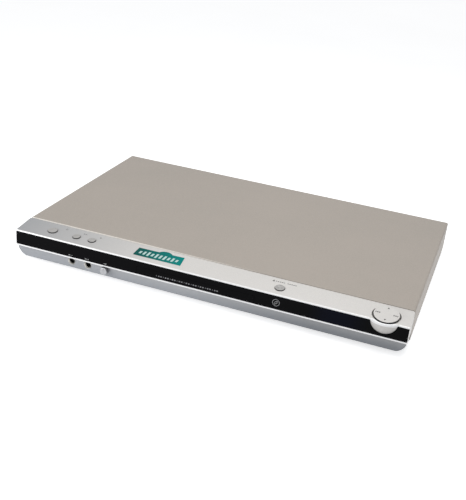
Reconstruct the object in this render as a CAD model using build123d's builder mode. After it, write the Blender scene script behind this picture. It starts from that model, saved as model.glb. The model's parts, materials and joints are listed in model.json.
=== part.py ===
from build123d import *
from math import acos, asin, atan, ceil, cos, degrees, pi, radians, sin, sqrt, tan
import os

os.makedirs("parts", exist_ok=True)

# Body. X runs left to right, Y front to rear, Z up, all in millimetres.
# The origin is on the resting surface, under the middle of the whole player.
body_width = 430.0
body_depth = 277.0
body_height = 35.0
foot_height = 4.0
cover_sheet = 0.8
cover_bend = 2.0
base_sheet = 1.0
panel_sheet = 1.0
moulding = 2.0
cheek = 1.6
ledge_corner = 3.0
seat_gap = 0.2
running_gap = 0.05
slide_gap = 0.3

# Front: a sloping ledge over a black strip between two lips, and a set-back skirt
ledge_depth = 29.2
ledge_drop = 3.4
cover_step = 0.6
upper_lip = 1.4
strip_height = 15.0
strip_thickness = 2.0
lower_lip = 2.0
skirt_setback = 3.2
skirt_corner = 13.5
skirt_lean = 0.6
skirt_return = 15.8
ledge_edge = 1.1
lip_edge = 0.8
skirt_edge = 1.5

# Keys on the ledge: distance from the left end, distance behind the front face, cap radius.
# The eject key is placed from the middle of the tray.
left_keys = {
    "power_button": (36.8, 14.2, 5.2),
    "left_small_button": (66.3, 13.8, 4.2),
    "right_small_button": (84.8, 14.0, 4.2),
}
eject_key = (86.9, 12.2, 5.0)
key_ring_gap = 0.5
key_rise = 0.8
key_travel = 0.6
key_flange = 1.2
switch_height = 3.4
switch_side = 6.0
board_sheet = 1.6

# Four-way pad in its round pod
pad_end = 24.8
pad_y = 11.0
pad_radius = 12.8
pad_thickness = 2.2
pad_rise = 1.7
pad_extra_tilt = 4.5
well_radius = 14.3
well_depth = 8.0
pod_radius = 20.2
pod_reach = 5.0
pod_wall = 2.0
pod_lift = 0.4

# Microphone jacks and volume knob in the skirt
# Their places are distances from the left end.
jack_places = {"mic_jack_1": 66.7, "mic_jack_2": 86.2}
jack_bore = 3.2
jack_nozzle = 4.2
jack_funnel = 1.4
jack_body_depth = 22.0
knob_place = 107.4
knob_radius = 4.1
knob_length = 5.0
front_socket_rise = 8.3
jack_reach = 8.0

# Tray, door and disc
loader_x = -5.0
spindle_y = 72.5
door_width = 130.0
door_height = 8.4
tray_side_gap = 1.0
tray_play = 0.5
tray_rise = 0.4
tray_length = 175.0
tray_height = 6.4
tray_floor = 1.6
disc_radius = 60.0
small_disc_radius = 40.0
disc_thickness = 1.2
pocket_depth = 2.8
small_pocket_depth = 1.4
tray_hole_radius = 17.5
tray_slot_width = 30.0
tray_slot_reach = 68.0

# Rack and gears
rack_module = 1.0
rack_inset = 8.0
pinion_teeth = 12
pinion_y = 27.0
wheel_module = 0.6
wheel_teeth = 40
pulley_gear_teeth = 14
pulley_radius = 10.0
motor_pulley_radius = 3.0
belt_span = 8.56
belt_side = 1.0
belt_gap = 0.1
tooth_play = 0.14
centre_play = 0.15

# Traverse: the frame that tips up to lift the disc onto the turntable
pivot_behind_spindle = 95.0
pivot_drop = 1.8
traverse_lift = 6.0
holder_half_width = 40.0
holder_front = 116.0
holder_rear = 13.0
turntable_radius = 14.5
turntable_top = 6.0
cone_radius = 7.35
cone_height = 1.6
lens_start = 24.0
lens_travel = 34.0
rod_radius = 1.5
rod_x = 24.0
rod_z = -3.0
screw_x = 31.0
cam_travel = 12.0
clamp_hole_radius = 12.0
clamper_neck = 11.4
clamper_flange = 14.2

# Places worked out from the sizes above
front_y = pod_reach - (pod_reach + body_depth + jack_reach) / 2
top_z = foot_height + body_height
base_top = foot_height + base_sheet
cover_underside = top_z - cover_sheet
ledge_rear_z = top_z - cover_step
ledge_front_z = ledge_rear_z - ledge_drop
strip_roof = ledge_front_z - upper_lip
strip_floor = strip_roof - strip_height
lip_underside = strip_floor - lower_lip
inner_front = strip_thickness + moulding
half_width = body_width / 2
pad_x = half_width - pad_end
key_rows = {name: (x - half_width, y, radius) for name, (x, y, radius) in left_keys.items()}
key_rows["eject_button"] = (loader_x + eject_key[0], *eject_key[1:])
jack_xs = {name: place - half_width for name, place in jack_places.items()}
knob_x = knob_place - half_width
front_socket_z = foot_height + front_socket_rise
tray_width = door_width - 2 * tray_side_gap
rack_x = rack_inset - tray_width / 2
ledge_angle = atan(ledge_drop / ledge_depth)
pad_angle = ledge_angle + radians(pad_extra_tilt)
tray_bottom = strip_floor + tray_rise
tray_top = tray_bottom + tray_height
door_bottom = strip_floor + seat_gap
disc_floor = tray_top - pocket_depth
small_disc_floor = disc_floor - small_pocket_depth
tray_underside = small_disc_floor - tray_floor
clamper_bottom = disc_floor + disc_thickness + slide_gap
pivot_z = tray_bottom - pivot_drop
lift_angle = asin(traverse_lift / pivot_behind_spindle)
pivot_y = spindle_y + pivot_behind_spindle
BASE = (Align.CENTER, Align.CENTER, Align.MIN)

body = Plane(origin=(0, front_y, 0))
loader = Plane(origin=(loader_x, front_y, 0))


def tipped(origin, angle):
    """A plane at origin whose upward direction leans to the front by angle."""
    return Plane(origin=origin, x_dir=(1, 0, 0), z_dir=(0, -sin(angle), cos(angle)))


def ledge(x, y):
    """The ledge's surface at x, and y behind the front face."""
    z = ledge_front_z + ledge_drop * y / ledge_depth
    return tipped((x, front_y + y, z), ledge_angle)


pad = tipped(ledge(pad_x, pad_y).from_local_coords(Vector(0, 0, pad_rise)), pad_angle)
deck = tipped((loader_x, front_y + pivot_y, pivot_z), lift_angle)


def spot(frame, x, y, z):
    """The frame, moved to a place given in its own directions."""
    return Plane(
        origin=frame.from_local_coords(Vector(x, y, z)),
        x_dir=frame.x_dir,
        z_dir=frame.z_dir,
    )


def block(frame, x, y, z, width, depth, height, mode=Mode.ADD):
    """A box that stands at z, with its middle at x and y."""
    with Locations(spot(frame, x, y, z)):
        Box(width, depth, height, align=BASE, mode=mode)


def post(frame, x, y, z, radius, height, mode=Mode.ADD):
    """An upright cylinder that stands at z."""
    with Locations(spot(frame, x, y, z)):
        Cylinder(radius, height, align=BASE, mode=mode)


def bar(frame, x, y, z, radius, length, mode=Mode.ADD):
    """A cylinder that runs back from y."""
    start = spot(frame, x, y, z)
    with Locations(Plane(origin=start.origin, x_dir=frame.x_dir, z_dir=frame.y_dir)):
        Cylinder(radius, length, align=BASE, mode=mode)


def cross_bar(frame, x, y, z, radius, length, mode=Mode.ADD):
    """A cylinder that runs to the right from x."""
    start = spot(frame, x, y, z)
    with Locations(Plane(origin=start.origin, x_dir=frame.y_dir, z_dir=frame.x_dir)):
        Cylinder(radius, length, align=BASE, mode=mode)


def cone(plane, radius, end_radius, length, mode=Mode.ADD):
    """A cone that starts on the plane and narrows along its normal."""
    with Locations(plane):
        Cone(radius, end_radius, length, align=BASE, mode=mode)


def round_front_corners(inset):
    """Keep what lies inside the front view, which has two round lower corners."""
    height = body_height - inset
    with BuildSketch(Plane.XZ.offset(pod_reach + body_depth)) as view:
        with Locations((0, foot_height + inset + height / 2)):
            Rectangle(body_width - 2 * inset, height)
        fillet(view.vertices().group_by(Axis.Y)[0], skirt_corner - inset)
    extrude(view.sketch, amount=-2 * (pod_reach + body_depth), mode=Mode.INTERSECT)


def gear_points(module, teeth, phase):
    """The outline of a spur gear with involute flanks and a tooth at phase."""
    pitch = module * teeth / 2
    base = pitch * cos(radians(20))
    root = pitch - 1.25 * module
    tip = pitch + 0.9 * module
    involute = lambda r: sqrt((r / base) ** 2 - 1) - acos(base / r)
    half_tooth = pi / (2 * teeth) - tooth_play / (2 * pitch)
    radii = [max(base, root) + (tip - max(base, root)) * i / 4 for i in range(5)]
    flank = [(r, half_tooth + involute(pitch) - involute(r)) for r in radii]
    flank = [(root, flank[0][1])] + flank if root < base else flank
    points = []
    for tooth in range(teeth):
        middle = phase + 2 * pi * tooth / teeth
        for r, angle in [(r, -a) for r, a in flank] + flank[::-1]:
            points.append((r * cos(middle + angle), r * sin(middle + angle)))
    return points


def gear(frame, x, y, z, module, teeth, phase, thickness):
    """A toothed disc that stands at z."""
    with BuildSketch(spot(frame, x, y, z)) as face:
        with BuildLine():
            Polyline(*gear_points(module, teeth, phase), close=True)
        make_face()
    extrude(face.sketch, amount=thickness)


def pan_screw(plane, head_radius, shank_radius, length):
    """A pan-head screw whose head seats on the plane and whose shank goes below it."""
    with BuildSketch(plane) as shank:
        Circle(shank_radius)
    extrude(shank.sketch, amount=-length)
    with BuildSketch(plane) as head:
        Circle(head_radius)
    extrude(head.sketch, amount=head_radius * 0.7, taper=12)
    with BuildSketch(plane.offset(head_radius * 0.7)) as recess:
        Rectangle(head_radius * 1.2, head_radius * 0.3)
        Rectangle(head_radius * 0.3, head_radius * 1.2)
    extrude(recess.sketch, amount=-head_radius * 0.4, mode=Mode.SUBTRACT)


def save(piece, name):
    """Label the finished piece and write it to its own file."""
    piece.part.label = name
    export_step(piece.part, f"parts/{name}.step")


# Chassis base: a steel pan with side flanges, boss pillars and floor vents
side_inside = half_width - cover_sheet - seat_gap
tongue_half_width = half_width - skirt_corner - moulding
base_front = ledge_depth + seat_gap * 2
panel_front = body_depth - cover_sheet - panel_sheet
flange_height = 10.0
side_screw_ys = (70.0, body_depth - 62.0)
side_screw_z = base_top + 5.0
screw_shank = 1.5
flush_head = 2.6
foot_radius = 9.0
foot_side = half_width - 37.0
foot_spots = [(x, y) for x in (-foot_side, foot_side) for y in (40.0, body_depth - 28.0)]
loader_front = 17.0
loader_rear = max(strip_thickness + tray_length + 9.0, pivot_y + holder_rear + 5.5)
loader_half = tray_width / 2 + tray_play
loader_wall = 2.5
loader_ear = 8.0
loader_ear_sheet = 2.6
ear_ys = (loader_front + 8.0, loader_rear - 8.0)
ear_x = loader_half + loader_wall + loader_ear / 2

# Boards: each fills the room between the loader's ears and a side wall
board_inset = 5.0
board_z = base_top + 5.0
pillar_radius = 3.0
main_board_depth = 124.0
power_board_depth = 104.0
main_left = loader_x + ear_x + loader_ear / 2 + 10.0
main_right = half_width - 11.0
main_front = body_depth - 15.0 - main_board_depth
power_left = 13.0 - half_width
power_right = loader_x - ear_x - loader_ear / 2 - 18.0
power_front = body_depth - 13.0 - power_board_depth
main_board_box = (
    (main_left + main_right) / 2, main_front + main_board_depth / 2,
    main_right - main_left, main_board_depth,
)
power_board_box = (
    (power_left + power_right) / 2, power_front + power_board_depth / 2,
    power_right - power_left, power_board_depth,
)


def corners(box):
    """The four screw places of a board given by its middle and its sides."""
    x, y, width, depth = box
    return [
        (x + i * (width / 2 - board_inset), y + j * (depth / 2 - board_inset))
        for i in (-1, 1)
        for j in (-1, 1)
    ]


def on_board(box, across, back):
    """A place on a board, as shares of its width and depth from its front left corner."""
    x, y, width, depth = box
    return x + (across - 0.5) * width, y + (back - 0.5) * depth


pillars = corners(main_board_box) + corners(power_board_box)
vent_row = (main_board_box[0], main_front - 28.0)
with BuildPart() as chassis_base:
    base_length = panel_front - base_front
    base_middle = base_front + base_length / 2
    block(body, 0, base_middle, foot_height, 2 * side_inside, base_length, base_sheet)
    tongue = base_front - skirt_return - seat_gap
    block(body, 0, base_front - tongue / 2, foot_height, 2 * tongue_half_width, tongue, base_sheet)
    for side in (-1, 1):
        x = side * (side_inside - base_sheet / 2)
        block(body, x, base_middle, base_top, base_sheet, base_length, flange_height)
        for y in side_screw_ys:
            cross_bar(body, x - base_sheet, y, side_screw_z, screw_shank, 2 * base_sheet, Mode.SUBTRACT)
    for x, y in pillars:
        post(body, x, y, base_top, pillar_radius, board_z - base_top)
        post(body, x, y, foot_height, screw_shank, board_z - foot_height, Mode.SUBTRACT)
    for x in (-ear_x, ear_x):
        for y in ear_ys:
            post(loader, x, y, foot_height, screw_shank, base_sheet, Mode.SUBTRACT)
    for x, y in foot_spots:
        post(body, x, y, foot_height, screw_shank, base_sheet, Mode.SUBTRACT)
    with BuildSketch(spot(body, *vent_row, foot_height)):
        with GridLocations(9.0, 26.0, 8, 2):
            SlotOverall(20.0, 2.4, rotation=90)
    extrude(amount=base_sheet, mode=Mode.SUBTRACT)
save(chassis_base, "chassis_base")

# Feet: soft round pads, each with a button that snaps into the base
with BuildPart() as feet:
    for x, y in foot_spots:
        with BuildSketch(spot(body, x, y, 0)):
            Circle(foot_radius - 1.0)
        extrude(amount=foot_height, taper=-12)
        post(body, x, y, foot_height, screw_shank, base_sheet)
save(feet, "feet")

# Rear panel: a steel plate behind the sockets, with a hole for each
socket_z = board_z + board_sheet + 6.5
rca_colours = {
    "audio_jacks": ("white", "red"),
    "component_jacks": ("green", "blue", "red"),
    "video_jacks": ("yellow", "black"),
}
rca_pitch = 13.0
rca_shell = 4.15
rca_ring = 5.4
rca_depth = 11.0
rca_wall = 0.7
rca_cavity = 8.0
rca_core = 2.4
rca_core_bore = 1.6
inlet_x = power_left + 32.0
inlet_z = board_z + board_sheet + 7.0
inlet_width = 26.0
inlet_height = 14.0
svideo_width = 12.0
svideo_radius = 5.2
svideo_wall = 0.8
rear_screw_xs = (15.0 - half_width, 0.0, half_width - 12.0)
rear_lip = 6.0
panel_half = side_inside - base_sheet - seat_gap


# The rear blocks share out the main board's width with one even gap
block_play = 0.6
row_widths = {"svideo_jack": svideo_width}
for name, colours in rca_colours.items():
    row_widths[name] = rca_pitch * len(colours) - block_play
row_gap = (main_right - main_left - sum(row_widths.values())) / (len(row_widths) + 1)
row_middles = {}
row_edge = main_left
for name, width in row_widths.items():
    row_middles[name] = row_edge + row_gap + width / 2
    row_edge += row_gap + width
svideo_x = row_middles["svideo_jack"]


def row_spots(name):
    """X of each round socket in one rear block."""
    count = len(rca_colours[name])
    return [row_middles[name] + rca_pitch * (i - (count - 1) / 2) for i in range(count)]


with BuildPart() as rear_panel:
    height = cover_underside - base_top - seat_gap
    block(body, 0, panel_front + panel_sheet / 2, base_top, 2 * panel_half, panel_sheet, height)
    for name in rca_colours:
        for x in row_spots(name):
            bar(body, x, panel_front, socket_z, rca_ring + seat_gap, panel_sheet, Mode.SUBTRACT)
    bar(body, svideo_x, panel_front, socket_z, svideo_radius + seat_gap, panel_sheet, Mode.SUBTRACT)
    block(
        body, inlet_x, panel_front + panel_sheet / 2, inlet_z - inlet_height / 2 - seat_gap,
        inlet_width + 2 * seat_gap, panel_sheet, inlet_height + 2 * seat_gap, Mode.SUBTRACT,
    )
    for x in rear_screw_xs:
        bar(body, x, panel_front, top_z - rear_lip / 2 - cover_sheet, screw_shank, panel_sheet,
            Mode.SUBTRACT)
    with BuildSketch(Plane.XZ.offset(-front_y - panel_front)):
        with Locations((-60.0, base_top + 15.0)):
            with GridLocations(7.0, 12.0, 9, 1):
                SlotOverall(16.0, 2.4, rotation=90)
    extrude(amount=-panel_sheet, mode=Mode.SUBTRACT)
save(rear_panel, "rear_panel")

# Top cover: one bent sheet, with side walls, a front hem and a rear lip
cover_front = ledge_depth + seat_gap
cover_side_end = foot_height + 2.0
hem_height = 3.0
side_seats = [
    Plane(origin=(side * half_width, front_y + y, side_screw_z), x_dir=(0, 1, 0), z_dir=(-side, 0, 0))
    for side in (-1, 1)
    for y in side_screw_ys
]
with BuildPart() as top_cover:
    with BuildSketch(Plane.XZ.offset(-front_y - cover_front)) as wrap:
        with Locations((0, (cover_side_end + top_z) / 2)):
            Rectangle(body_width, top_z - cover_side_end)
        fillet(wrap.vertices().group_by(Axis.Y)[-1], cover_bend)
    extrude(amount=-(body_depth - cover_front))
    with BuildSketch(Plane.XZ.offset(-front_y - cover_front - cover_sheet)) as hollow:
        with Locations((0, (cover_side_end + cover_underside) / 2)):
            Rectangle(body_width - 2 * cover_sheet, cover_underside - cover_side_end)
        fillet(hollow.vertices().group_by(Axis.Y)[-1], cover_bend - cover_sheet)
    extrude(amount=-(body_depth - cover_front - 2 * cover_sheet), mode=Mode.SUBTRACT)
    inner_width = body_width - 2 * cover_sheet
    front_cut = cover_underside - hem_height - cover_side_end
    rear_cut = top_z - rear_lip - cover_sheet - cover_side_end
    block(body, 0, cover_front + cover_sheet / 2, cover_side_end, inner_width, cover_sheet, front_cut,
          Mode.SUBTRACT)
    block(body, 0, body_depth - cover_sheet / 2, cover_side_end, inner_width, cover_sheet, rear_cut,
          Mode.SUBTRACT)
    for seat in side_seats:
        cone(seat, flush_head + running_gap, flush_head + running_gap - cover_sheet, cover_sheet,
             Mode.SUBTRACT)
    for x in rear_screw_xs:
        screw_z = top_z - rear_lip / 2 - cover_sheet
        bar(body, x, body_depth - cover_sheet, screw_z, screw_shank + seat_gap, cover_sheet, Mode.SUBTRACT)
save(top_cover, "top_cover")

# Cover screws: two flush ones in each side wall and three with pan heads in the rear lip
with BuildPart() as cover_screws:
    for seat in side_seats:
        cone(seat, flush_head, flush_head - cover_sheet, cover_sheet)
        with BuildSketch(seat) as shank:
            Circle(screw_shank)
        extrude(shank.sketch, amount=5.0)
        with BuildSketch(seat) as recess:
            Rectangle(2.6, 0.6)
            Rectangle(0.6, 2.6)
        extrude(recess.sketch, amount=0.7, mode=Mode.SUBTRACT)
    for x in rear_screw_xs:
        screw_z = top_z - rear_lip / 2 - cover_sheet
        seat = Plane(origin=(x, front_y + body_depth, screw_z), x_dir=(1, 0, 0), z_dir=(0, 1, 0))
        pan_screw(seat, 2.4, screw_shank, 5.0)
save(cover_screws, "cover_screws")

# Front bezel. Its hollow and its pod are made first, each as a plain form.
bezel_bottom = foot_height + moulding
with BuildPart() as bezel_hollow:
    with BuildSketch(Plane.YZ.offset(-half_width + cheek)):
        with BuildLine():
            Polyline(
                (front_y + ledge_depth + 1, ledge_rear_z - moulding + ledge_drop / ledge_depth),
                (front_y + inner_front, ledge_front_z - moulding + ledge_drop * inner_front / ledge_depth),
                (front_y + inner_front, lip_underside),
                (front_y + skirt_setback + moulding, lip_underside - moulding),
                (front_y + skirt_setback + moulding, foot_height),
                (front_y + ledge_depth + 1, foot_height),
                close=True,
            )
        make_face()
    extrude(amount=body_width - 2 * cheek)
    round_front_corners(moulding)

pod_centre = (pad_x, front_y + pod_radius - pod_reach, ledge_front_z + pod_lift)
floor_plane = spot(pad, 0, 0, -well_depth)
with BuildPart() as pad_pod:
    with Locations(pod_centre):
        Sphere(pod_radius)
    block(body, pad_x, inner_front - pod_radius, 0, 3 * pod_radius, 2 * pod_radius, 2 * top_z,
          Mode.INTERSECT)
    well_wall = well_radius + moulding * 0.9
    tube = Cylinder(well_wall, well_depth + moulding, align=BASE, mode=Mode.PRIVATE)
    tube.locate(spot(pad, 0, 0, -well_depth - moulding).location)
    behind_strip = Box(
        3 * pod_radius, 2 * pod_radius, 2 * top_z,
        align=(Align.CENTER, Align.MIN, Align.CENTER), mode=Mode.PRIVATE,
    )
    behind_strip.locate(Location((pad_x, front_y + strip_thickness, top_z)))
    add(tube & behind_strip)
    with BuildSketch(ledge(pad_x, pad_y)):
        Rectangle(4 * pod_radius, 4 * pod_radius)
    extrude(amount=2 * pod_radius, mode=Mode.SUBTRACT)
    with BuildSketch(floor_plane):
        Circle(well_radius)
    extrude(amount=2 * pod_radius, mode=Mode.SUBTRACT)
    under = Sphere(pod_radius - pod_wall, mode=Mode.PRIVATE).locate(Location(pod_centre))
    below_well = Box(
        4 * pod_radius, 4 * pod_radius, 2 * pod_radius,
        align=(Align.CENTER, Align.CENTER, Align.MAX), mode=Mode.PRIVATE,
    )
    below_well.locate(spot(pad, 0, 0, -well_depth - pod_wall).location)
    before_strip = Box(
        4 * pod_radius, 2 * pod_radius, 4 * pod_radius,
        align=(Align.CENTER, Align.MAX, Align.CENTER), mode=Mode.PRIVATE,
    )
    before_strip.locate(Location((pad_x, front_y + strip_thickness, ledge_front_z)))
    add(under & below_well & before_strip, mode=Mode.SUBTRACT)

mouth_gap = 0.6
eject_x = key_rows["eject_button"][0]
receiver_x = eject_x + 25.6
receiver_radius = 1.8
display_left = eject_x + 35.1
display_right = pad_x - pod_radius
display_x = (display_left + display_right) / 2
display_width = display_right - display_left
display_height = 12.0
display_z = strip_floor + 1.2
receiver_z = display_z + 4.5
stem_circle = 6.6
stem_radius = 1.3
stem_clearance = 0.9
bushing_radius = 3.2
key_play = 0.1
key_board_drop = moulding + key_flange + key_play + key_travel + key_play + switch_height + 2.3
pin_h = -4.6
pin_radius = 1.0
ear_out = 5.6
ear_thick = 1.8
ear_width = 4.4
ear_end = 1.8
with BuildPart() as front_bezel:
    with BuildSketch(Plane.YZ.offset(-half_width)) as section:
        with BuildLine():
            Polyline(
                (front_y + ledge_depth, foot_height),
                (front_y + ledge_depth, ledge_rear_z),
                (front_y, ledge_front_z),
                (front_y, lip_underside),
                (front_y + skirt_setback, lip_underside),
                (front_y + skirt_setback + skirt_lean, foot_height),
                close=True,
            )
        make_face()
        fillet(section.vertices().sort_by_distance((front_y, ledge_front_z))[0], ledge_edge)
        fillet(section.vertices().sort_by_distance((front_y, lip_underside))[0], lip_edge)
        skirt_foot = (front_y + skirt_setback + skirt_lean, foot_height)
        fillet(section.vertices().sort_by_distance(skirt_foot)[0], skirt_edge)
    extrude(amount=body_width)
    fillet(front_bezel.edges().filter_by(Axis.Z).group_by(Axis.Y)[-1], ledge_corner)
    round_front_corners(0)
    add(bezel_hollow.part, mode=Mode.SUBTRACT)
    add(pad_pod.part)
    with BuildSketch(floor_plane):
        Circle(well_radius)
    extrude(amount=2 * pod_radius, mode=Mode.SUBTRACT)
    recess = Box(
        body_width, strip_thickness, strip_height,
        align=(Align.CENTER, Align.MIN, Align.MIN), mode=Mode.PRIVATE,
    )
    recess.locate(Location((0, front_y, strip_floor)))
    pod_ball = Sphere(pod_radius, mode=Mode.PRIVATE)
    pod_ball.locate(Location(pod_centre))
    add(recess - pod_ball, mode=Mode.SUBTRACT)
    block(loader, 0, inner_front / 2, strip_floor, door_width + 2 * mouth_gap, inner_front + 1,
          door_height + 2 * mouth_gap, Mode.SUBTRACT)
    block(body, display_x, inner_front / 2, display_z, display_width, inner_front, display_height,
          Mode.SUBTRACT)
    bar(body, receiver_x, 0, receiver_z, receiver_radius + seat_gap, inner_front, Mode.SUBTRACT)
    for x in jack_xs.values():
        bar(body, x, skirt_setback, front_socket_z, jack_nozzle + seat_gap, moulding + 1, Mode.SUBTRACT)
    bar(body, knob_x, skirt_setback, front_socket_z, bushing_radius + seat_gap, moulding + 1, Mode.SUBTRACT)
    for x, y, radius in key_rows.values():
        post(ledge(x, y), 0, 0, -2 * moulding, radius + key_ring_gap, 3 * moulding, Mode.SUBTRACT)
    for side in (-1, 1):
        block(pad, side * (ear_out + ear_thick / 2), 0, -well_depth, ear_thick, ear_width,
              well_depth + pin_h + ear_end)
        cross_bar(pad, side * (ear_out + ear_thick / 2) - ear_thick, 0, pin_h, pin_radius + running_gap,
                  2 * ear_thick, Mode.SUBTRACT)
        for x, y in ((side * stem_circle, side * stem_circle), (-side * stem_circle, side * stem_circle)):
            post(pad, x, y, -well_depth - 2 * pod_wall, stem_radius + stem_clearance, 3 * pod_wall,
                 Mode.SUBTRACT)
    block(body, 0, skirt_return + ledge_depth / 2, 0, 2 * tongue_half_width + 1, ledge_depth, bezel_bottom,
          Mode.SUBTRACT)
save(front_bezel, "front_bezel")

# Front strip: smoked acrylic over the display, cut out for the tray door and the pod
with BuildPart() as front_strip:
    with Locations((0, front_y, strip_floor)):
        Box(body_width, strip_thickness, strip_height, align=(Align.CENTER, Align.MIN, Align.MIN))
    block(loader, 0, strip_thickness / 2, strip_floor, door_width + 2 * seat_gap, strip_thickness,
          door_height + 2 * seat_gap, Mode.SUBTRACT)
    with Locations(pod_centre):
        Sphere(pod_radius + 0.1, mode=Mode.SUBTRACT)
save(front_strip, "front_strip")

# Ledge label: a thin plate with a raised middle on its upper edge
label_x = loader_x - 46.8
label_y = 15.2
label_half = 26.2
label_rise = 7.4
with BuildPart() as ledge_label:
    with BuildSketch(ledge(label_x, label_y)):
        with BuildLine():
            Polyline(
                (11.8, label_rise + 0.5), (label_half - 0.7, label_rise + 1.0),
                (label_half + 0.9, -label_rise), (-label_half - 0.6, -label_rise),
                (-label_half, label_rise - 0.3), (-3.2, label_rise),
            )
            ThreePointArc((-3.2, label_rise), (3.6, label_rise + 3.8), (11.8, label_rise + 0.5))
        make_face()
    extrude(amount=0.2)
save(ledge_label, "ledge_label")

# Keys: a dished cap, a flange that keeps it under the ledge, and a stem over its switch
plunger_top = -key_board_drop + switch_height
stem_end = plunger_top + key_travel + key_play
cap_foot = -moulding - key_play
dish_depth = 0.35
key_flange_reach = 0.9
key_stem_radius = 1.6
key_parts = {}
for name, (x, y, radius) in key_rows.items():
    seat = ledge(x, y)
    with BuildPart() as key:
        dish_radius = 3.2 * radius
        post(seat, 0, 0, cap_foot, radius, key_rise - cap_foot)
        with Locations(spot(seat, 0, 0, key_rise + dish_radius - dish_depth)):
            Sphere(dish_radius, mode=Mode.SUBTRACT)
        post(seat, 0, 0, cap_foot - key_flange, radius + key_ring_gap + key_flange_reach, key_flange)
        post(seat, 0, 0, stem_end, key_stem_radius, cap_foot - key_flange - stem_end)
    key_parts[name] = key
    save(key, name)


def switch(frame, x, y, z, side):
    """A small push switch: its case and its round plunger."""
    case_height = switch_height - key_travel
    block(frame, x, y, z, side, side, case_height)
    post(frame, x, y, z + case_height, side * 0.28, key_travel)


# Key boards under the ledge, each with a switch below every key
key_xs = [key_rows[name][0] for name in left_keys]
left_board_width = max(key_xs) - min(key_xs) + 24.0
key_boards_at = {
    ((max(key_xs) + min(key_xs)) / 2, 14.0, left_board_width, 15.0): tuple(left_keys),
    (eject_x, 13.0, 26.0, 15.0): ("eject_button",),
}
with BuildPart() as ledge_key_boards:
    for (x, y, width, depth), names in key_boards_at.items():
        seat = ledge(x, y)
        block(seat, 0, 0, -key_board_drop - board_sheet, width, depth, board_sheet)
        for name in names:
            key_x, key_y, radius = key_rows[name]
            switch(seat, key_x - x, key_y - y, -key_board_drop, switch_side)
save(ledge_key_boards, "ledge_key_boards")

# Pad key board: four small switches under the pad's stems
pad_switch_side = 4.0
pad_stem_gap = 0.7
pad_board_h = -well_depth - pod_wall - 5.8
pad_stem_end = pad_board_h + switch_height + pad_stem_gap
stem_spots = [(i * stem_circle, j * stem_circle) for i in (-1, 1) for j in (-1, 1)]
with BuildPart() as pad_key_board:
    block(pad, 0, 2.0, pad_board_h - board_sheet, 26.0, 22.0, board_sheet)
    for x, y in stem_spots:
        switch(pad, x, y, pad_board_h, pad_switch_side)
save(pad_key_board, "pad_key_board")

# Pad gimbal: a hub with two pins across for the bezel and two along for the pad
hub_side = 7.0
pin_reach = ear_out + ear_thick - 0.2
with BuildPart() as pad_gimbal:
    block(pad, 0, 0, pin_h - 1.6, hub_side, hub_side, 3.2)
    cross_bar(pad, -pin_reach, 0, pin_h, pin_radius, 2 * pin_reach)
    bar(pad, 0, -pin_reach, pin_h, pin_radius, 2 * pin_reach)
save(pad_gimbal, "pad_gimbal")

# Pad: a flat round key with two ears for the gimbal and four stems
with BuildPart() as nav_pad:
    post(pad, 0, 0, -pad_thickness, pad_radius, pad_thickness)
    fillet(nav_pad.edges().filter_by(GeomType.CIRCLE).sort_by(Axis(pad.origin, pad.z_dir))[-1], 0.7)
    for side in (-1, 1):
        ear_top = -pad_thickness
        block(pad, 0, side * (ear_out + ear_thick / 2), pin_h - ear_end, ear_width, ear_thick,
              ear_top - pin_h + ear_end)
        bar(pad, 0, side * (ear_out + ear_thick / 2) - ear_thick, pin_h, pin_radius + running_gap,
            2 * ear_thick, Mode.SUBTRACT)
    for x, y in stem_spots:
        post(pad, x, y, pad_stem_end, stem_radius, -pad_thickness - pad_stem_end)
save(nav_pad, "nav_pad")

# Microphone jacks: a moulded socket behind the skirt with a funnel-mouthed sleeve through it
skirt_inner = skirt_setback + moulding + 0.4
mic_board_z = front_socket_z + 6.6
jack_side = 13.0
jack_foot = bezel_bottom + 0.1
for name, x in jack_xs.items():
    with BuildPart() as mic_jack:
        block(body, x, skirt_inner + jack_body_depth / 2, jack_foot, jack_side, jack_body_depth,
              mic_board_z - jack_foot)
        bar(body, x, skirt_inner - 1, front_socket_z, jack_bore, jack_body_depth - 2.0, Mode.SUBTRACT)
    save(mic_jack, name)

with BuildPart() as jack_sleeves:
    for x in jack_xs.values():
        bar(body, x, skirt_setback, front_socket_z, jack_nozzle, skirt_inner - skirt_setback)
        bar(body, x, skirt_setback, front_socket_z, jack_bore, skirt_inner, Mode.SUBTRACT)
        mouth = spot(body, x, skirt_setback, front_socket_z)
        cone(Plane(origin=mouth.origin, x_dir=body.x_dir, z_dir=body.y_dir), jack_nozzle - 0.2, jack_bore,
             jack_funnel, Mode.SUBTRACT)
save(jack_sleeves, "jack_sleeves")

# Volume control: the carbon-track pot and its knob with a shaft and a pointer
pot_depth = 7.0
shaft_radius = 1.5
with BuildPart() as volume_pot:
    block(body, knob_x, skirt_inner + pot_depth / 2, jack_foot, 10.0, pot_depth, mic_board_z - jack_foot)
    bar(body, knob_x, skirt_setback + 0.8, front_socket_z, bushing_radius,
        skirt_inner - skirt_setback - 0.8)
    bar(body, knob_x, 0, front_socket_z, shaft_radius + running_gap, skirt_inner + pot_depth - 1.0,
        Mode.SUBTRACT)
save(volume_pot, "volume_pot")

knob_front = skirt_setback - 0.6 - knob_length
with BuildPart() as volume_knob:
    bar(body, knob_x, knob_front, front_socket_z, knob_radius, knob_length)
    fillet(volume_knob.edges().filter_by(GeomType.CIRCLE).sort_by(Axis.Y)[0], 0.8)
    bar(body, knob_x, knob_front, front_socket_z, shaft_radius, knob_length + skirt_inner + pot_depth - 5.0)
    with Locations(spot(body, knob_x, knob_front + knob_length * 0.6, front_socket_z)):
        with Locations(Plane.XZ):
            with PolarLocations(knob_radius, 18):
                Cylinder(0.35, knob_length * 0.8, mode=Mode.SUBTRACT)
    block(body, knob_x, knob_front + 0.2, front_socket_z + 0.8, 0.9, 1.0, knob_radius - 1.4)
save(volume_knob, "volume_knob")

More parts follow.
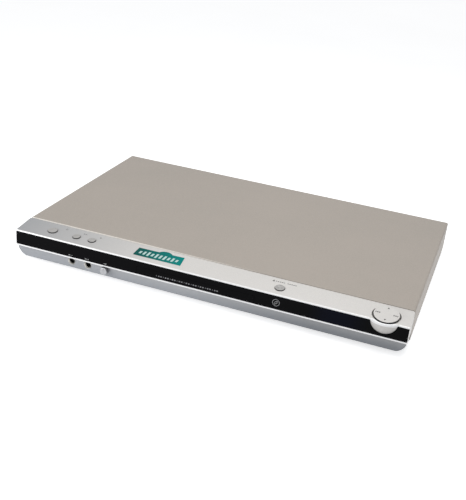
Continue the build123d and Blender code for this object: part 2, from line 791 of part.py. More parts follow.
# Microphone board over the jacks, with its amplifier's capacitors and a cable plug
mic_board_x = (jack_xs["mic_jack_1"] + knob_x) / 2
with BuildPart() as mic_board:
    block(body, mic_board_x, 20.0, mic_board_z, 62.0, 28.0, board_sheet)
    block(body, mic_board_x + 25.0, 28.0, mic_board_z + board_sheet, 8.0, 5.0, 5.0)
    for step in (-21.0, -11.0, 3.0, 13.0):
        post(body, mic_board_x + step, 27.0, mic_board_z + board_sheet, 2.5, 5.0)
save(mic_board, "mic_board")

# Display: a glass tube behind the strip on its own board, with the remote receiver
glass_depth = 6.0
glass_front = inner_front + 0.1
glass_overlap = 1.0
with BuildPart() as display_module:
    block(body, display_x, glass_front + glass_depth / 2, display_z - 0.6, display_width + 2 * glass_overlap,
          glass_depth, display_height + 0.6)
    board_left = receiver_x - 1.5
    board_right = display_right + glass_overlap
    block(body, (board_left + board_right) / 2, glass_front + glass_depth + board_sheet / 2,
          strip_floor - 0.6, board_right - board_left, board_sheet, strip_height)
    block(body, display_x, inner_front + glass_depth + board_sheet + 2.6, strip_floor + 2.0, 14.0, 5.0, 4.0)
    block(body, receiver_x + 1.5, inner_front + 3.6, display_z + 1.0, 8.0, 7.0, 7.0)
    bar(body, receiver_x, inner_front - 1.0, receiver_z, receiver_radius, 3.0)
save(display_module, "display_module")

# Disc tray: rails at its edges, the disc's two pockets, and the rack in a groove below
tray_front = strip_thickness
groove_ceiling = small_disc_floor
pinion_centre = rack_x + rack_module * pinion_teeth / 2 + centre_play
groove_inner = pinion_centre + rack_module * (pinion_teeth / 2 + 0.9) + 0.6
rack_root = rack_x - 1.25 * rack_module
pitch = pi * rack_module
rack_top = tray_bottom + 0.2
pocket_play = 0.6
rim_chamfer = 3.0
finger_notch = 9.0
finger_notch_x = disc_radius - 16.0
finger_notch_y = spindle_y - disc_radius + 14.0
with BuildPart() as disc_tray:
    block(loader, 0, tray_front + tray_length / 2, tray_bottom, tray_width, tray_length, tray_height)
    rim = disc_tray.edges().filter_by(Axis.Z).group_by(Axis.Y)[-1]
    chamfer(rim, rim_chamfer)
    post(loader, 0, spindle_y, disc_floor, disc_radius + pocket_play, pocket_depth, Mode.SUBTRACT)
    post(loader, 0, spindle_y, small_disc_floor, small_disc_radius + pocket_play, tray_height, Mode.SUBTRACT)
    post(loader, 0, spindle_y, tray_bottom, tray_hole_radius, tray_height, Mode.SUBTRACT)
    block(loader, 0, spindle_y + tray_slot_reach / 2, tray_bottom, tray_slot_width, tray_slot_reach,
          tray_height, Mode.SUBTRACT)
    hollow_width = -2 * groove_inner
    block(loader, 0, tray_front + tray_length / 2 + 4.0, tray_bottom, hollow_width, tray_length,
          tray_underside - tray_bottom, Mode.SUBTRACT)
    for side in (-1, 1):
        width = groove_inner - rack_root
        x = side * -(rack_root + groove_inner) / 2
        block(loader, x, tray_front + tray_length / 2 + 6.0, tray_bottom, width, tray_length,
              groove_ceiling - tray_bottom, Mode.SUBTRACT)
        post(loader, side * finger_notch_x, finger_notch_y, disc_floor, finger_notch, pocket_depth,
             Mode.SUBTRACT)
    relief = tray_length - (spindle_y + disc_radius - 4.0)
    block(loader, 0, tray_front + tray_length - relief / 2, clamper_bottom - 0.5,
          2 * clamper_flange + 5.0, relief, tray_height, Mode.SUBTRACT)
    with BuildSketch(spot(loader, 0, pinion_y, rack_top)):
        first = ceil((tray_front + 9.0 - pinion_y) / pitch)
        last = int((tray_front + tray_length - 3.0 - pinion_y) / pitch)
        with Locations(*[(rack_root, (i + 0.5) * pitch) for i in range(first, last)]):
            foot_half = pitch / 4 + 1.25 * rack_module * tan(radians(20)) - tooth_play / 2
            tip_half = pitch / 4 - 0.9 * rack_module * tan(radians(20)) - tooth_play / 2
            tooth_reach = 2.15 * rack_module
            Polygon(
                (-0.4, -foot_half), (0, -foot_half), (tooth_reach, -tip_half),
                (tooth_reach, tip_half), (0, foot_half), (-0.4, foot_half), align=None,
            )
    extrude(amount=groove_ceiling - rack_top)
save(disc_tray, "disc_tray")

# Tray door: the strip's own acrylic, fixed to the front of the tray
with BuildPart() as tray_door:
    block(loader, 0, strip_thickness / 2, door_bottom, door_width, strip_thickness, door_height)
save(tray_door, "tray_door")

# Loading train: rack pinion with its wheel, pulley gear, belt, motor pulley and motor
train_floor = base_top + 1.6
wheel_z = train_floor + 2.4
wheel_thickness = 3.0
pulley_z = wheel_z + wheel_thickness + 0.6
pulley_height = 3.0
post_radius = 2.0
pulley_x = pinion_centre + wheel_module * (wheel_teeth + pulley_gear_teeth) / 2 + centre_play * wheel_module
motor_x = pulley_x + pulley_radius + motor_pulley_radius + belt_span
pinion_height = 1.6
pinion_z = tray_bottom + 0.3
hub_bottom = train_floor + 0.3
hub_radius = 3.6
with BuildPart() as pinion_gear:
    gear(loader, pinion_centre, pinion_y, wheel_z, wheel_module, wheel_teeth, 0, wheel_thickness)
    post(loader, pinion_centre, pinion_y, hub_bottom, hub_radius, pinion_z - hub_bottom)
    gear(loader, pinion_centre, pinion_y, pinion_z, rack_module, pinion_teeth, pi, pinion_height)
    post(loader, pinion_centre, pinion_y, 0, post_radius + running_gap, top_z, Mode.SUBTRACT)
save(pinion_gear, "pinion_gear")


def grooved_pulley(x, y, z, radius, depth):
    """A pulley whose square groove takes the belt."""
    middle = loader_x + x
    outline = [
        (0, 0), (radius, 0), (radius, 0.5), (radius - depth, 0.8), (radius - depth, pulley_height - 0.8),
        (radius, pulley_height - 0.5), (radius, pulley_height), (0, pulley_height),
    ]
    with BuildSketch(Plane.XZ.offset(-front_y - y)) as section:
        with BuildLine():
            Polyline(*[(middle + across, z + up) for across, up in outline], close=True)
        make_face()
    revolve(section.sketch, axis=Axis((middle, front_y + y, 0), (0, 0, 1)))


with BuildPart() as pulley_gear:
    grooved_pulley(pulley_x, pinion_y, pulley_z, pulley_radius, belt_side)
    gear(loader, pulley_x, pinion_y, wheel_z + 0.2, wheel_module, pulley_gear_teeth, pi / pulley_gear_teeth,
         wheel_thickness - 0.2)
    post(loader, pulley_x, pinion_y, wheel_z + wheel_thickness, 3.4, 0.6)
    post(loader, pulley_x, pinion_y, hub_bottom, 3.0, wheel_z - train_floor)
    post(loader, pulley_x, pinion_y, 0, post_radius + running_gap, top_z, Mode.SUBTRACT)
save(pulley_gear, "pulley_gear")

motor_shaft = 0.8
motor_radius = 9.6
small_groove = belt_side * 0.8
with BuildPart() as motor_pulley:
    grooved_pulley(motor_x, pinion_y, pulley_z, motor_pulley_radius, small_groove)
    post(loader, motor_x, pinion_y, pulley_z - 3.0, motor_shaft, 4.0)
save(motor_pulley, "motor_pulley")

with BuildPart() as loading_motor:
    post(loader, motor_x, pinion_y, base_top + 0.2, motor_radius, pulley_z - 0.9 - base_top)
    fillet(loading_motor.edges().filter_by(GeomType.CIRCLE).group_by(Axis.Z)[-1], 0.8)
    post(loader, motor_x, pinion_y, pulley_z - 3.4, motor_shaft + running_gap, 4.0, Mode.SUBTRACT)
save(loading_motor, "loading_motor")


def belt_loop(extra):
    """The outline round both pulleys, this far outside their grooves."""
    with BuildSketch() as loop:
        with Locations((pulley_x, pinion_y)):
            Circle(pulley_radius - belt_side + extra)
        with Locations((motor_x, pinion_y)):
            Circle(motor_pulley_radius - small_groove + extra)
        make_hull()
    return loop.sketch


belt_outside = belt_loop(belt_gap + belt_side)
belt_inside = belt_loop(belt_gap)
with BuildPart() as drive_belt:
    with BuildSketch(spot(loader, 0, 0, pulley_z + (pulley_height - belt_side) / 2)) as loop:
        add(belt_outside)
        add(belt_inside, mode=Mode.SUBTRACT)
    extrude(amount=belt_side)
save(drive_belt, "drive_belt")

# Traverse holder: a tilting ring with its pivot pins, the cam pin and four damper lugs
rail = 4.0
holder_depth = 3.2
holder_top = 1.0
pivot_radius = 1.6
pivot_reach = 7.2
cam_pin_y = -119.0
cam_pin_z = -0.5
cam_pin_radius = 1.2
cam_pin_reach = 3.5
damper_spots = [(-28.0, -105.5), (28.0, -105.5), (-14.0, 3.5), (14.0, 3.5)]
lug_z = -3.4
lug_thickness = 1.2
lug_side = 9.0
damper_radius = 4.0
damper_waist = 2.5
deck_half = 0.6
holder_length = holder_front + holder_rear
with BuildPart() as traverse_holder:
    block(deck, 0, (holder_rear - holder_front) / 2, -holder_depth, 2 * holder_half_width, holder_length,
          holder_depth + holder_top)
    block(deck, 0, (holder_rear - holder_front) / 2 + 1.0, -holder_depth, 2 * (holder_half_width - rail),
          holder_length - 10.0, holder_depth + holder_top, Mode.SUBTRACT)
    for x, y in damper_spots:
        edge = -holder_front + 5.0 if y < -50 else holder_rear - 3.0
        length = abs(edge - y) + lug_side / 2
        inner_end = y + lug_side / 2 if y < -50 else y - lug_side / 2
        block(deck, x, (edge + inner_end) / 2, lug_z, lug_side, length, lug_thickness)
    cross_bar(deck, -holder_half_width - pivot_reach, 0, 0, pivot_radius, pivot_reach)
    cross_bar(deck, holder_half_width, 0, 0, pivot_radius, pivot_reach)
    bar(deck, 0, cam_pin_y - cam_pin_reach, cam_pin_z, cam_pin_radius,
        cam_pin_reach - holder_front - cam_pin_y)
save(traverse_holder, "traverse_holder")

# Rubber dampers, waisted to hold the deck's plate
with BuildPart() as rubber_dampers:
    for x, y in damper_spots:
        post(deck, x, y, lug_z + lug_thickness, damper_radius, -deck_half - lug_z - lug_thickness)
        post(deck, x, y, -deck_half, damper_waist, 2 * deck_half)
        post(deck, x, y, deck_half, damper_radius, 1.0)
save(rubber_dampers, "rubber_dampers")

# Deck chassis: the steel plate that carries the disc motor, the rods and the sled drive
spindle = -pivot_behind_spindle
sled_front = spindle + lens_start - 8.2
sled_length = 34.0
sled_width = 38.0
window_front = sled_front - 0.9
window_rear = sled_front + sled_length + lens_travel + 1.8
bracket = 3.0
rod_front = window_front - bracket
rod_rear = window_rear + bracket
motor_core = 9.0
bracket_foot = rod_z - 2.2
screw_journal = 1.0
sled_motor_radius = 4.6
sled_motor_length = 15.0
with BuildPart() as deck_chassis:
    deck_front = -holder_front + 7.0
    deck_rear = holder_rear - 5.0
    block(deck, 0, (deck_front + deck_rear) / 2, -deck_half, 2 * (holder_half_width - rail - 2.0),
          deck_rear - deck_front, 2 * deck_half)
    block(deck, 0, (window_front + window_rear) / 2, -deck_half, sled_width + 2.0,
          window_rear - window_front, 2 * deck_half, Mode.SUBTRACT)
    post(deck, 0, spindle, -deck_half, motor_core + seat_gap, 2 * deck_half, Mode.SUBTRACT)
    for x, y in damper_spots:
        post(deck, x, y, -deck_half, damper_waist, 2 * deck_half, Mode.SUBTRACT)
    notch_half = sled_motor_radius + 0.8
    block(deck, screw_x, (rod_rear + deck_rear) / 2 + 1.0, -deck_half, 2 * notch_half,
          deck_rear - rod_rear + 2.0, 2 * deck_half, Mode.SUBTRACT)
    for y in (window_front - bracket / 2, window_rear + bracket / 2):
        for x in (-rod_x, rod_x):
            block(deck, x, y, bracket_foot, 5.6, bracket, -deck_half - bracket_foot)
            bar(deck, x, y - bracket, rod_z, rod_radius, 2 * bracket, Mode.SUBTRACT)
    block(deck, screw_x, window_front - bracket / 2, bracket_foot, 5.0, bracket, -deck_half - bracket_foot)
    bar(deck, screw_x, window_front - 2 * bracket, rod_z, screw_journal + running_gap, 3 * bracket,
        Mode.SUBTRACT)
    plate_y = rod_rear - 0.5
    block(deck, screw_x, plate_y, rod_z - sled_motor_radius, 7.6, 1.0,
          sled_motor_radius - rod_z - deck_half)
    bar(deck, screw_x, plate_y - 1.0, rod_z, 2.0, 2.0, Mode.SUBTRACT)
save(deck_chassis, "deck_chassis")

# Spindle motor under the turntable
with BuildPart() as spindle_motor:
    post(deck, 0, spindle, -deck_half - 2.2, motor_core + 2.0, 2.2)
    post(deck, 0, spindle, -deck_half, motor_core, 3.8 + deck_half)
    post(deck, 0, spindle, -2.2, 1.0 + running_gap, 8.0, Mode.SUBTRACT)
save(spindle_motor, "spindle_motor")

# Turntable: platter, centring cone and shaft, with a soft ring that grips the disc
platter_bottom = 4.2
ring_floor = turntable_top - 0.4
ring_outside = turntable_radius - 0.8
ring_inside = cone_radius + 1.4
with BuildPart() as turntable:
    post(deck, 0, spindle, platter_bottom, turntable_radius, turntable_top - platter_bottom)
    with BuildSketch(spot(deck, 0, spindle, turntable_top)):
        Circle(cone_radius)
    extrude(amount=cone_height, taper=35)
    post(deck, 0, spindle, -2.0, 1.0, 6.4)
    post(deck, 0, spindle, ring_floor, ring_outside, turntable_top - ring_floor, Mode.SUBTRACT)
    post(deck, 0, spindle, ring_floor, ring_inside, turntable_top - ring_floor)
save(turntable, "turntable")

with BuildPart() as turntable_ring:
    with BuildSketch(spot(deck, 0, spindle, ring_floor)):
        Circle(ring_outside)
        Circle(ring_inside, mode=Mode.SUBTRACT)
    extrude(amount=0.5)
save(turntable_ring, "turntable_ring")

# Guide rods for the sled
with BuildPart() as guide_rods:
    for x in (-rod_x, rod_x):
        bar(deck, x, rod_front, rod_z, rod_radius, rod_rear - rod_front)
save(guide_rods, "guide_rods")

# Pickup sled: a cast body on the rods, with the lens housing and a nut on the lead screw
lens_y = spindle + lens_start
sled_base = -5.2
sled_top = 1.0
flange_length = 20.0
flange_y = sled_front + sled_length / 2
with BuildPart() as pickup_sled:
    block(deck, 0, sled_front + sled_length / 2, sled_base, sled_width, sled_length, sled_top - sled_base)
    block(deck, -rod_x + 1.0, flange_y, sled_base, 10.0, flange_length, -sled_base - 0.9)
    nut_right = screw_x + 3.0
    nut_reach = nut_right - sled_width / 2 + 1.0
    block(deck, nut_right - nut_reach / 2, flange_y, sled_base, nut_reach, flange_length, -sled_base - 0.9)
    bar(deck, -rod_x, sled_front - 1, rod_z, rod_radius + running_gap, sled_length + 2, Mode.SUBTRACT)
    bar(deck, screw_x, sled_front - 1, rod_z, rod_radius + 2 * running_gap, sled_length + 2, Mode.SUBTRACT)
    block(deck, rod_x, flange_y, rod_z - rod_radius - 0.1, 2 * rod_radius + 0.6, sled_length + 2,
          2 * rod_radius + 1.0, Mode.SUBTRACT)
    block(deck, 0, lens_y, sled_top, 14.0, 14.4, 3.2)
    block(deck, 0, lens_y, sled_top + 0.6, 11.0, 11.0, 4.0, Mode.SUBTRACT)
    block(deck, 0, flange_y + 6.0, sled_top - 1.2, 22.0, 14.0, 1.2, Mode.SUBTRACT)
    block(deck, 0, flange_y + 8.0, sled_top - 1.2, 10.0, 5.0, 1.6)
save(pickup_sled, "pickup_sled")

# Lens holder with its lens, hung on the sled's focus wires
with BuildPart() as objective_lens:
    block(deck, 0, lens_y, sled_top + 1.4, 9.6, 9.6, 1.4)
    with Locations(spot(deck, 0, lens_y, sled_top + 2.8)):
        Sphere(3.6, arc_size1=45, align=BASE)
save(objective_lens, "objective_lens")

# Lead screw and its motor
with BuildPart() as lead_screw:
    bar(deck, screw_x, window_front + 0.3, rod_z, rod_radius, window_rear - window_front - 0.6)
    bar(deck, screw_x, window_front - bracket + 0.6, rod_z, screw_journal,
        rod_rear - window_front + bracket + 3.0)
save(lead_screw, "lead_screw")

with BuildPart() as sled_motor:
    bar(deck, screw_x, rod_rear, rod_z, sled_motor_radius, sled_motor_length - 4.0)
    bar(deck, screw_x, rod_rear - 1.0, rod_z, screw_journal + running_gap, 6.0, Mode.SUBTRACT)
save(sled_motor, "sled_motor")

# Cam slider: a plate whose slanted slot lifts the traverse's pin
pin_low = deck.from_local_coords(Vector(0, cam_pin_y, cam_pin_z))
pin_high_z = pivot_z + cam_pin_z
cam_slope = atan((pin_high_z - pin_low.Z) / cam_travel)
slider_y = pin_low.Y - front_y
slider_bottom = base_top + 0.5
slider_top = pin_high_z + cam_pin_radius + 1.0
with BuildPart() as cam_slider:
    block(loader, -4.0, slider_y, slider_bottom, 56.0, 2.0, slider_top - slider_bottom)
    with BuildSketch(Plane.XZ.offset(-front_y - slider_y - 2.0)):
        with Locations((loader_x + cam_travel / 2, (pin_low.Z + pin_high_z) / 2)):
            run = cam_travel / cos(cam_slope) + 0.8
            SlotCenterToCenter(run, 2 * cam_pin_radius + 0.4, rotation=degrees(cam_slope))
    extrude(amount=4.0, mode=Mode.SUBTRACT)
save(cam_slider, "cam_slider")

# Loader frame: side walls with rails for the tray, a floor for the train, ears for the pivot
wall_top = tray_top + 2.0
support = 4.0
hook = 3.0
ear_inner = holder_half_width + 3.0
pivot_ear_width = 4.0
floor_rear = slider_y - 1.3
rear_floor_front = pivot_y - 9.5
slider_guides = (-28.0, 9.0)
with BuildPart() as loader_frame:
    middle_y = (loader_front + loader_rear) / 2
    length = loader_rear - loader_front
    for side in (-1, 1):
        x = side * (loader_half + loader_wall / 2)
        block(loader, x, middle_y, base_top, loader_wall, length, wall_top - base_top)
        x = side * (loader_half - support / 2)
        block(loader, x, middle_y, tray_bottom - slide_gap - 2.0, support, length, 2.0)
        for y, run in ((loader_front + 12.0, 24.0), (loader_rear - 30.0, 40.0)):
            block(loader, side * (loader_half - hook / 2), y, tray_top + slide_gap, hook, run,
                  wall_top - tray_top - slide_gap)
        x = side * (ear_inner + pivot_ear_width / 2)
        block(loader, x, pivot_y, base_top, pivot_ear_width, 7.0, pivot_z + pivot_radius + 1.2 - base_top)
        for y in ear_ys:
            block(loader, side * ear_x, y, base_top, loader_ear, 12.0, loader_ear_sheet)
            post(loader, side * ear_x, y, base_top, screw_shank + seat_gap, loader_ear_sheet,
                 Mode.SUBTRACT)
    for front, rear in ((loader_front, floor_rear), (rear_floor_front, loader_rear)):
        block(loader, 0, (front + rear) / 2, base_top, 2 * loader_half, rear - front,
              train_floor - base_top)
    block(loader, 0, loader_rear - 1.5, base_top, 2 * loader_half, 3.0, wall_top - base_top)
    for x in slider_guides:
        block(loader, x, slider_y + 0.4, base_top, 5.0, 4.0, 0.3)
        block(loader, x, slider_y + 1.8, base_top, 5.0, 1.0, 5.0)
        block(loader, x, floor_rear - 0.6, base_top, 5.0, 1.2, 6.0)
    cross_bar(loader, -ear_inner - 2 * pivot_ear_width, pivot_y, pivot_z, pivot_radius + running_gap,
              2 * ear_inner + 4 * pivot_ear_width, Mode.SUBTRACT)
    post(loader, motor_x, pinion_y, base_top, motor_radius + 0.1, train_floor - base_top, Mode.SUBTRACT)
    post(loader, pinion_centre, pinion_y, train_floor, post_radius, tray_bottom - train_floor + 0.4)
    post(loader, pulley_x, pinion_y, train_floor, post_radius, pulley_z + pulley_height - train_floor)
save(loader_frame, "loader_frame")

# Clamp bridge over the tray, with the clamper that hangs in its hole
bridge_depth = 46.0
with BuildPart() as clamp_bridge:
    block(loader, 0, spindle_y, wall_top, 2 * (loader_half + loader_wall), bridge_depth, base_sheet)
    post(loader, 0, spindle_y, wall_top, clamp_hole_radius, base_sheet, Mode.SUBTRACT)
    for side in (-1, 1):
        y = spindle_y + side * (bridge_depth - base_sheet) / 2
        block(loader, 0, y, wall_top + base_sheet, 2 * loader_half - 8.0, base_sheet, 4.0)
save(clamp_bridge, "clamp_bridge")

clamper_top = wall_top + base_sheet + 0.05
clamper_plate = 1.0
cone_recess = cone_radius + 0.7
with BuildPart() as disc_clamper:
    post(loader, 0, spindle_y, clamper_bottom, clamper_flange, clamper_plate)
    post(loader, 0, spindle_y, clamper_bottom, clamper_neck, clamper_top - clamper_bottom)
    post(loader, 0, spindle_y, clamper_top, clamper_flange, clamper_plate)
    post(loader, 0, spindle_y, clamper_bottom, cone_recess, cone_height + 0.4, Mode.SUBTRACT)
save(disc_clamper, "disc_clamper")

with BuildPart() as clamper_magnet:
    with BuildSketch(spot(loader, 0, spindle_y, clamper_top + clamper_plate)):
        Circle(9.0)
        Circle(3.5, mode=Mode.SUBTRACT)
    extrude(amount=2.0)
save(clamper_magnet, "clamper_magnet")

# Screws for the loader and the boards
with BuildPart() as inner_screws:
    for x in (-ear_x, ear_x):
        for y in ear_ys:
            pan_screw(spot(loader, x, y, base_top + loader_ear_sheet), 3.0, screw_shank,
                      loader_ear_sheet + base_sheet)
    for x, y in pillars:
        pan_screw(spot(body, x, y, board_z + board_sheet), 2.8, screw_shank, board_sheet + 4.0)
save(inner_screws, "inner_screws")


def board(box):
    """A circuit board on its pillars, with holes for the screws."""
    x, y, width, depth = box
    block(body, x, y, board_z, width, depth, board_sheet)
    for hole_x, hole_y in corners(box):
        post(body, hole_x, hole_y, board_z, screw_shank, board_sheet, Mode.SUBTRACT)


part_z = board_z + board_sheet
with BuildPart() as main_board:
    board(main_board_box)
save(main_board, "main_board")

# Chips, crystal and small capacitors of the main board
with BuildPart() as board_chips:
    for across, back, width, depth, height in (
        (0.40, 0.46, 24.0, 24.0, 2.4), (0.73, 0.42, 14.0, 20.0, 1.8), (0.73, 0.68, 12.0, 12.0, 1.8),
        (0.20, 0.73, 10.0, 8.0, 1.6), (0.19, 0.42, 9.0, 4.0, 3.4), (0.40, 0.18, 30.0, 5.0, 3.0),
    ):
        block(body, *on_board(main_board_box, across, back), part_z, width, depth, height)
    for across, back in ((0.54, 0.76), (0.63, 0.76), (0.54, 0.85), (0.63, 0.85), (0.89, 0.22), (0.89, 0.33)):
        post(body, *on_board(main_board_box, across, back), part_z, 3.2, 8.0)
save(board_chips, "board_chips")

with BuildPart() as power_board:
    board(power_board_box)
save(power_board, "power_board")

# Switching supply: transformer, capacitors and a finned heat sink
with BuildPart() as transformer:
    place = on_board(power_board_box, 0.71, 0.52)
    block(body, *place, part_z, 26.0, 24.0, 3.0)
    block(body, *place, part_z + 3.0, 26.0, 12.0, 15.0)
    block(body, *place, part_z + 3.0, 16.0, 22.0, 13.0)
save(transformer, "transformer")

with BuildPart() as capacitors:
    for across, back, radius, height in (
        (0.25, 0.52, 8.0, 20.0), (0.87, 0.23, 5.0, 16.0), (0.73, 0.19, 5.0, 16.0),
        (0.59, 0.19, 4.0, 12.0), (0.48, 0.75, 4.0, 12.0),
    ):
        post(body, *on_board(power_board_box, across, back), part_z, radius, height)
save(capacitors, "capacitors")

fin_pitch = 4.0
sink_height = 18.0
with BuildPart() as heat_sink:
    sink_x, sink_y = on_board(power_board_box, 0.44, 0.31)
    block(body, sink_x, sink_y, part_z, 30.0, 2.0, sink_height)
    for i in range(-3, 4):
        block(body, sink_x + fin_pitch * i, sink_y - 3.5, part_z, 1.2, 5.0, sink_height)
save(heat_sink, "heat_sink")

# Mains inlet: a moulded socket with a round-ended cavity and two contact pins
inlet_depth = 20.0
inlet_face = body_depth + 0.6
with BuildPart() as power_inlet:
    block(body, inlet_x, inlet_face - inlet_depth / 2, inlet_z - inlet_height / 2, inlet_width, inlet_depth,
          inlet_height)
    with BuildSketch(Plane.XZ.offset(-front_y - inlet_face)):
        with Locations((inlet_x, inlet_z)):
            SlotOverall(20.0, 9.0)
    extrude(amount=16.0, mode=Mode.SUBTRACT)
    for side in (-1, 1):
        bar(body, inlet_x + side * 4.6, inlet_face - 17.0, inlet_z, 1.2, 11.0)
save(power_inlet, "power_inlet")

# Round signal sockets, one block for each row
rca_block_height = socket_z - part_z + 5.5
for name in rca_colours:
    with BuildPart() as rca_block:
        block(body, row_middles[name], panel_front - rca_depth / 2, part_z, row_widths[name], rca_depth,
              rca_block_height)
        for x in row_spots(name):
            bar(body, x, panel_front, socket_z, rca_ring, body_depth - panel_front + 0.6)
            bar(body, x, panel_front, socket_z, rca_shell, body_depth - panel_front + jack_reach)
            face_y = body_depth + jack_reach
            bar(body, x, face_y - rca_cavity, socket_z, rca_shell - rca_wall, rca_cavity, Mode.SUBTRACT)
            bar(body, x, face_y - rca_cavity - 0.2, socket_z, rca_core, rca_cavity - 0.3)
            bar(body, x, face_y - rca_cavity, socket_z, rca_core_bore, rca_cavity, Mode.SUBTRACT)
    save(rca_block, name)

with BuildPart() as svideo_jack:
    block(body, svideo_x, panel_front - rca_depth / 2, part_z, svideo_width, rca_depth, rca_block_height)
    bar(body, svideo_x, panel_front, socket_z, svideo_radius, body_depth - panel_front + 2.0)
    bar(body, svideo_x, body_depth - 4.0, socket_z, svideo_radius - svideo_wall, 6.0, Mode.SUBTRACT)
    block(body, svideo_x, body_depth - 2.5, socket_z - 3.0, 2.4, 3.4, 1.4)
    for x, z in ((-2.4, 1.6), (2.4, 1.6), (-1.6, -0.6), (1.6, -0.6)):
        bar(body, svideo_x + x, body_depth - 4.2, socket_z + z, 0.5, 3.4)
save(svideo_jack, "svideo_jack")

# Flat cable from the loader to the main board, and the supply ribbon behind the loader
loader_right = loader_x + loader_half + loader_wall
ribbon_z = pivot_z - 0.2
with BuildPart() as ribbon_cables:
    with BuildSketch(Plane.XZ.offset(-front_y - rear_floor_front + 8.0)):
        with BuildLine():
            FilletPolyline(
                (loader_right, ribbon_z), (loader_right + 6.0, ribbon_z), (loader_right + 9.0, part_z + 0.6),
                (main_left + 4.0, part_z + 0.6), radius=2.0,
            )
        trace(line_width=0.6)
    extrude(amount=-20.0)
    with BuildSketch(Plane.XZ.offset(-front_y - loader_rear - 14.0)):
        with BuildLine():
            FilletPolyline(
                (power_right - 6.0, part_z + 0.6), (power_right + 4.0, part_z + 0.6),
                (power_right + 9.0, base_top + 0.8), (main_left - 9.0, base_top + 0.8),
                (main_left - 4.0, part_z + 0.6), (main_left + 4.0, part_z + 0.6), radius=2.0,
            )
        trace(line_width=1.2)
    extrude(amount=-12.0)
save(ribbon_cables, "ribbon_cables")
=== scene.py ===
"""A slim silver disc player: a tray door in a black strip, a tilting pad, keys, jacks and a volume knob."""

import json
from math import atan, cos, radians, sin

import bmesh
import bpy
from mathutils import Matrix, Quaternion, Vector


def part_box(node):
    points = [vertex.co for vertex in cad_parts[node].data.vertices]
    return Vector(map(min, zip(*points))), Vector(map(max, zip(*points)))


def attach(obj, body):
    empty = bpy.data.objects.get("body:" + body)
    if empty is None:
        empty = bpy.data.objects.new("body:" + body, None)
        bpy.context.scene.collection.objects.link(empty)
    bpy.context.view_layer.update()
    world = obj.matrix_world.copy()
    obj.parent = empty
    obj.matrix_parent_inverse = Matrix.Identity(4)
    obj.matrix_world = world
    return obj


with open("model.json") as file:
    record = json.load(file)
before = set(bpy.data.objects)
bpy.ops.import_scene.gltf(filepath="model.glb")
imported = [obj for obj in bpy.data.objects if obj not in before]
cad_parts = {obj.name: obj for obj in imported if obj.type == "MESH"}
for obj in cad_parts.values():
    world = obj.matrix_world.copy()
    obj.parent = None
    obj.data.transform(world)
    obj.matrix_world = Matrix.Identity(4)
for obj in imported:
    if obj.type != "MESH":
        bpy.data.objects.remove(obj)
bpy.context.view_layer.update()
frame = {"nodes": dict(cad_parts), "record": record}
nodes = frame["nodes"]

MM = 0.001

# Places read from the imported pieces, in the frame's metres
strip_low, strip_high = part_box("front_strip")
cover_low, cover_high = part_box("top_cover")
audio_low, audio_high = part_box("audio_jacks")
component_low, component_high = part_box("component_jacks")
video_low, video_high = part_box("video_jacks")
FRONT_Y = strip_low[1]
STRIP_FLOOR = strip_low[2]
STRIP_ROOF = strip_high[2]

# Sizes of the front and of the rear sockets, as the part has them
UPPER_LIP = 1.4 * MM
LOWER_LIP = 2.0 * MM
LEDGE_RISE = 3.4 * MM
LEDGE_DEPTH = 29.2 * MM
LEDGE_SLOPE = atan(LEDGE_RISE / LEDGE_DEPTH)
PAD_TILT = LEDGE_SLOPE + radians(4.5)
PAD_RISE = 1.7 * MM
LABEL_THICKNESS = 0.2 * MM
SOCKET_PITCH = 13 * MM
SOCKET_RING = 5.4 * MM

# The rear sockets' core and flange, each a little over the part's, so that all of each takes its colour
SOCKET_CORE = 2.6 * MM
SOCKET_FLANGE = 0.65 * MM

# Across the front: where the label's colour starts and ends its fade, and where the display is fully tinted
LABEL_LEFT = -79 * MM
LABEL_RIGHT = -25 * MM
WINDOW_LEFT = 140 * MM
WINDOW_RIGHT = 150 * MM

# Printed marks: how far each stands up, and its place. On the ledge and the pad that is across and behind
# the front face, on the strip it is across and above the strip's floor, all in millimetres.
PRINT_LIFT = 0.05 * MM
POWER_MARK = (-165.5, 22.8)
PLAY_MARK = (-142.5, 22.3)
STOP_MARK = (-124.0, 22.4)
EJECT_MARK = (82.6, 23.0)
LABEL_BARS = (-52.4, 15.2)
PAD_MIDDLE = (190.2, 11.0)
FIRST_MICROPHONE_MARK = (-147.8, 2.2)
SECOND_MICROPHONE_MARK = (-128.4, 2.2)
VOLUME_MARK = (-107.2, 2.2)
DISC_MARK = (82.9, 7.4)
DOOR_MARKS = (-13.0, 3.6)

# Levels of the light that falls on the player, and of what the camera sees around it, where 1 is white
SKY_LEVEL = 0.39
BACKDROP_LEVEL = 1.0
PAPER_GLOW = 0.62

# The camera, fitted to the photograph
PHOTO_WIDTH, PHOTO_HEIGHT = 466, 500
FOCAL_PIXELS = 842.67
CAMERA_PLACE = (0.26466, -0.85329, 0.42273)
CAMERA_AIM = (-0.27961, 0.86138, -0.42409)
CAMERA_LEAN = radians(5.597)

# A Mix node repeats its sockets' names for each type of data, so its share, colours and result go by number
SHARE, LOW, HIGH, MIXED = 0, 6, 7, 2


def linear(code):
    """A colour's sRGB hex code as the linear values that a shader takes."""
    parts = [int(code[i:i + 2], 16) / 255 for i in (1, 3, 5)]
    return (*(p / 12.92 if p <= 0.04045 else ((p + 0.055) / 1.055) ** 2.4 for p in parts), 1.0)


# Materials

def add(tree, kind, inputs=None, **settings):
    """Adds a node with its settings. An input is a value, or another node's output to link from."""
    made = tree.nodes.new(kind)
    for name, value in settings.items():
        setattr(made, name, value)
    for key, value in (inputs or {}).items():
        if isinstance(value, bpy.types.NodeSocket):
            tree.links.new(value, made.inputs[key])
        else:
            made.inputs[key].default_value = value
    return made


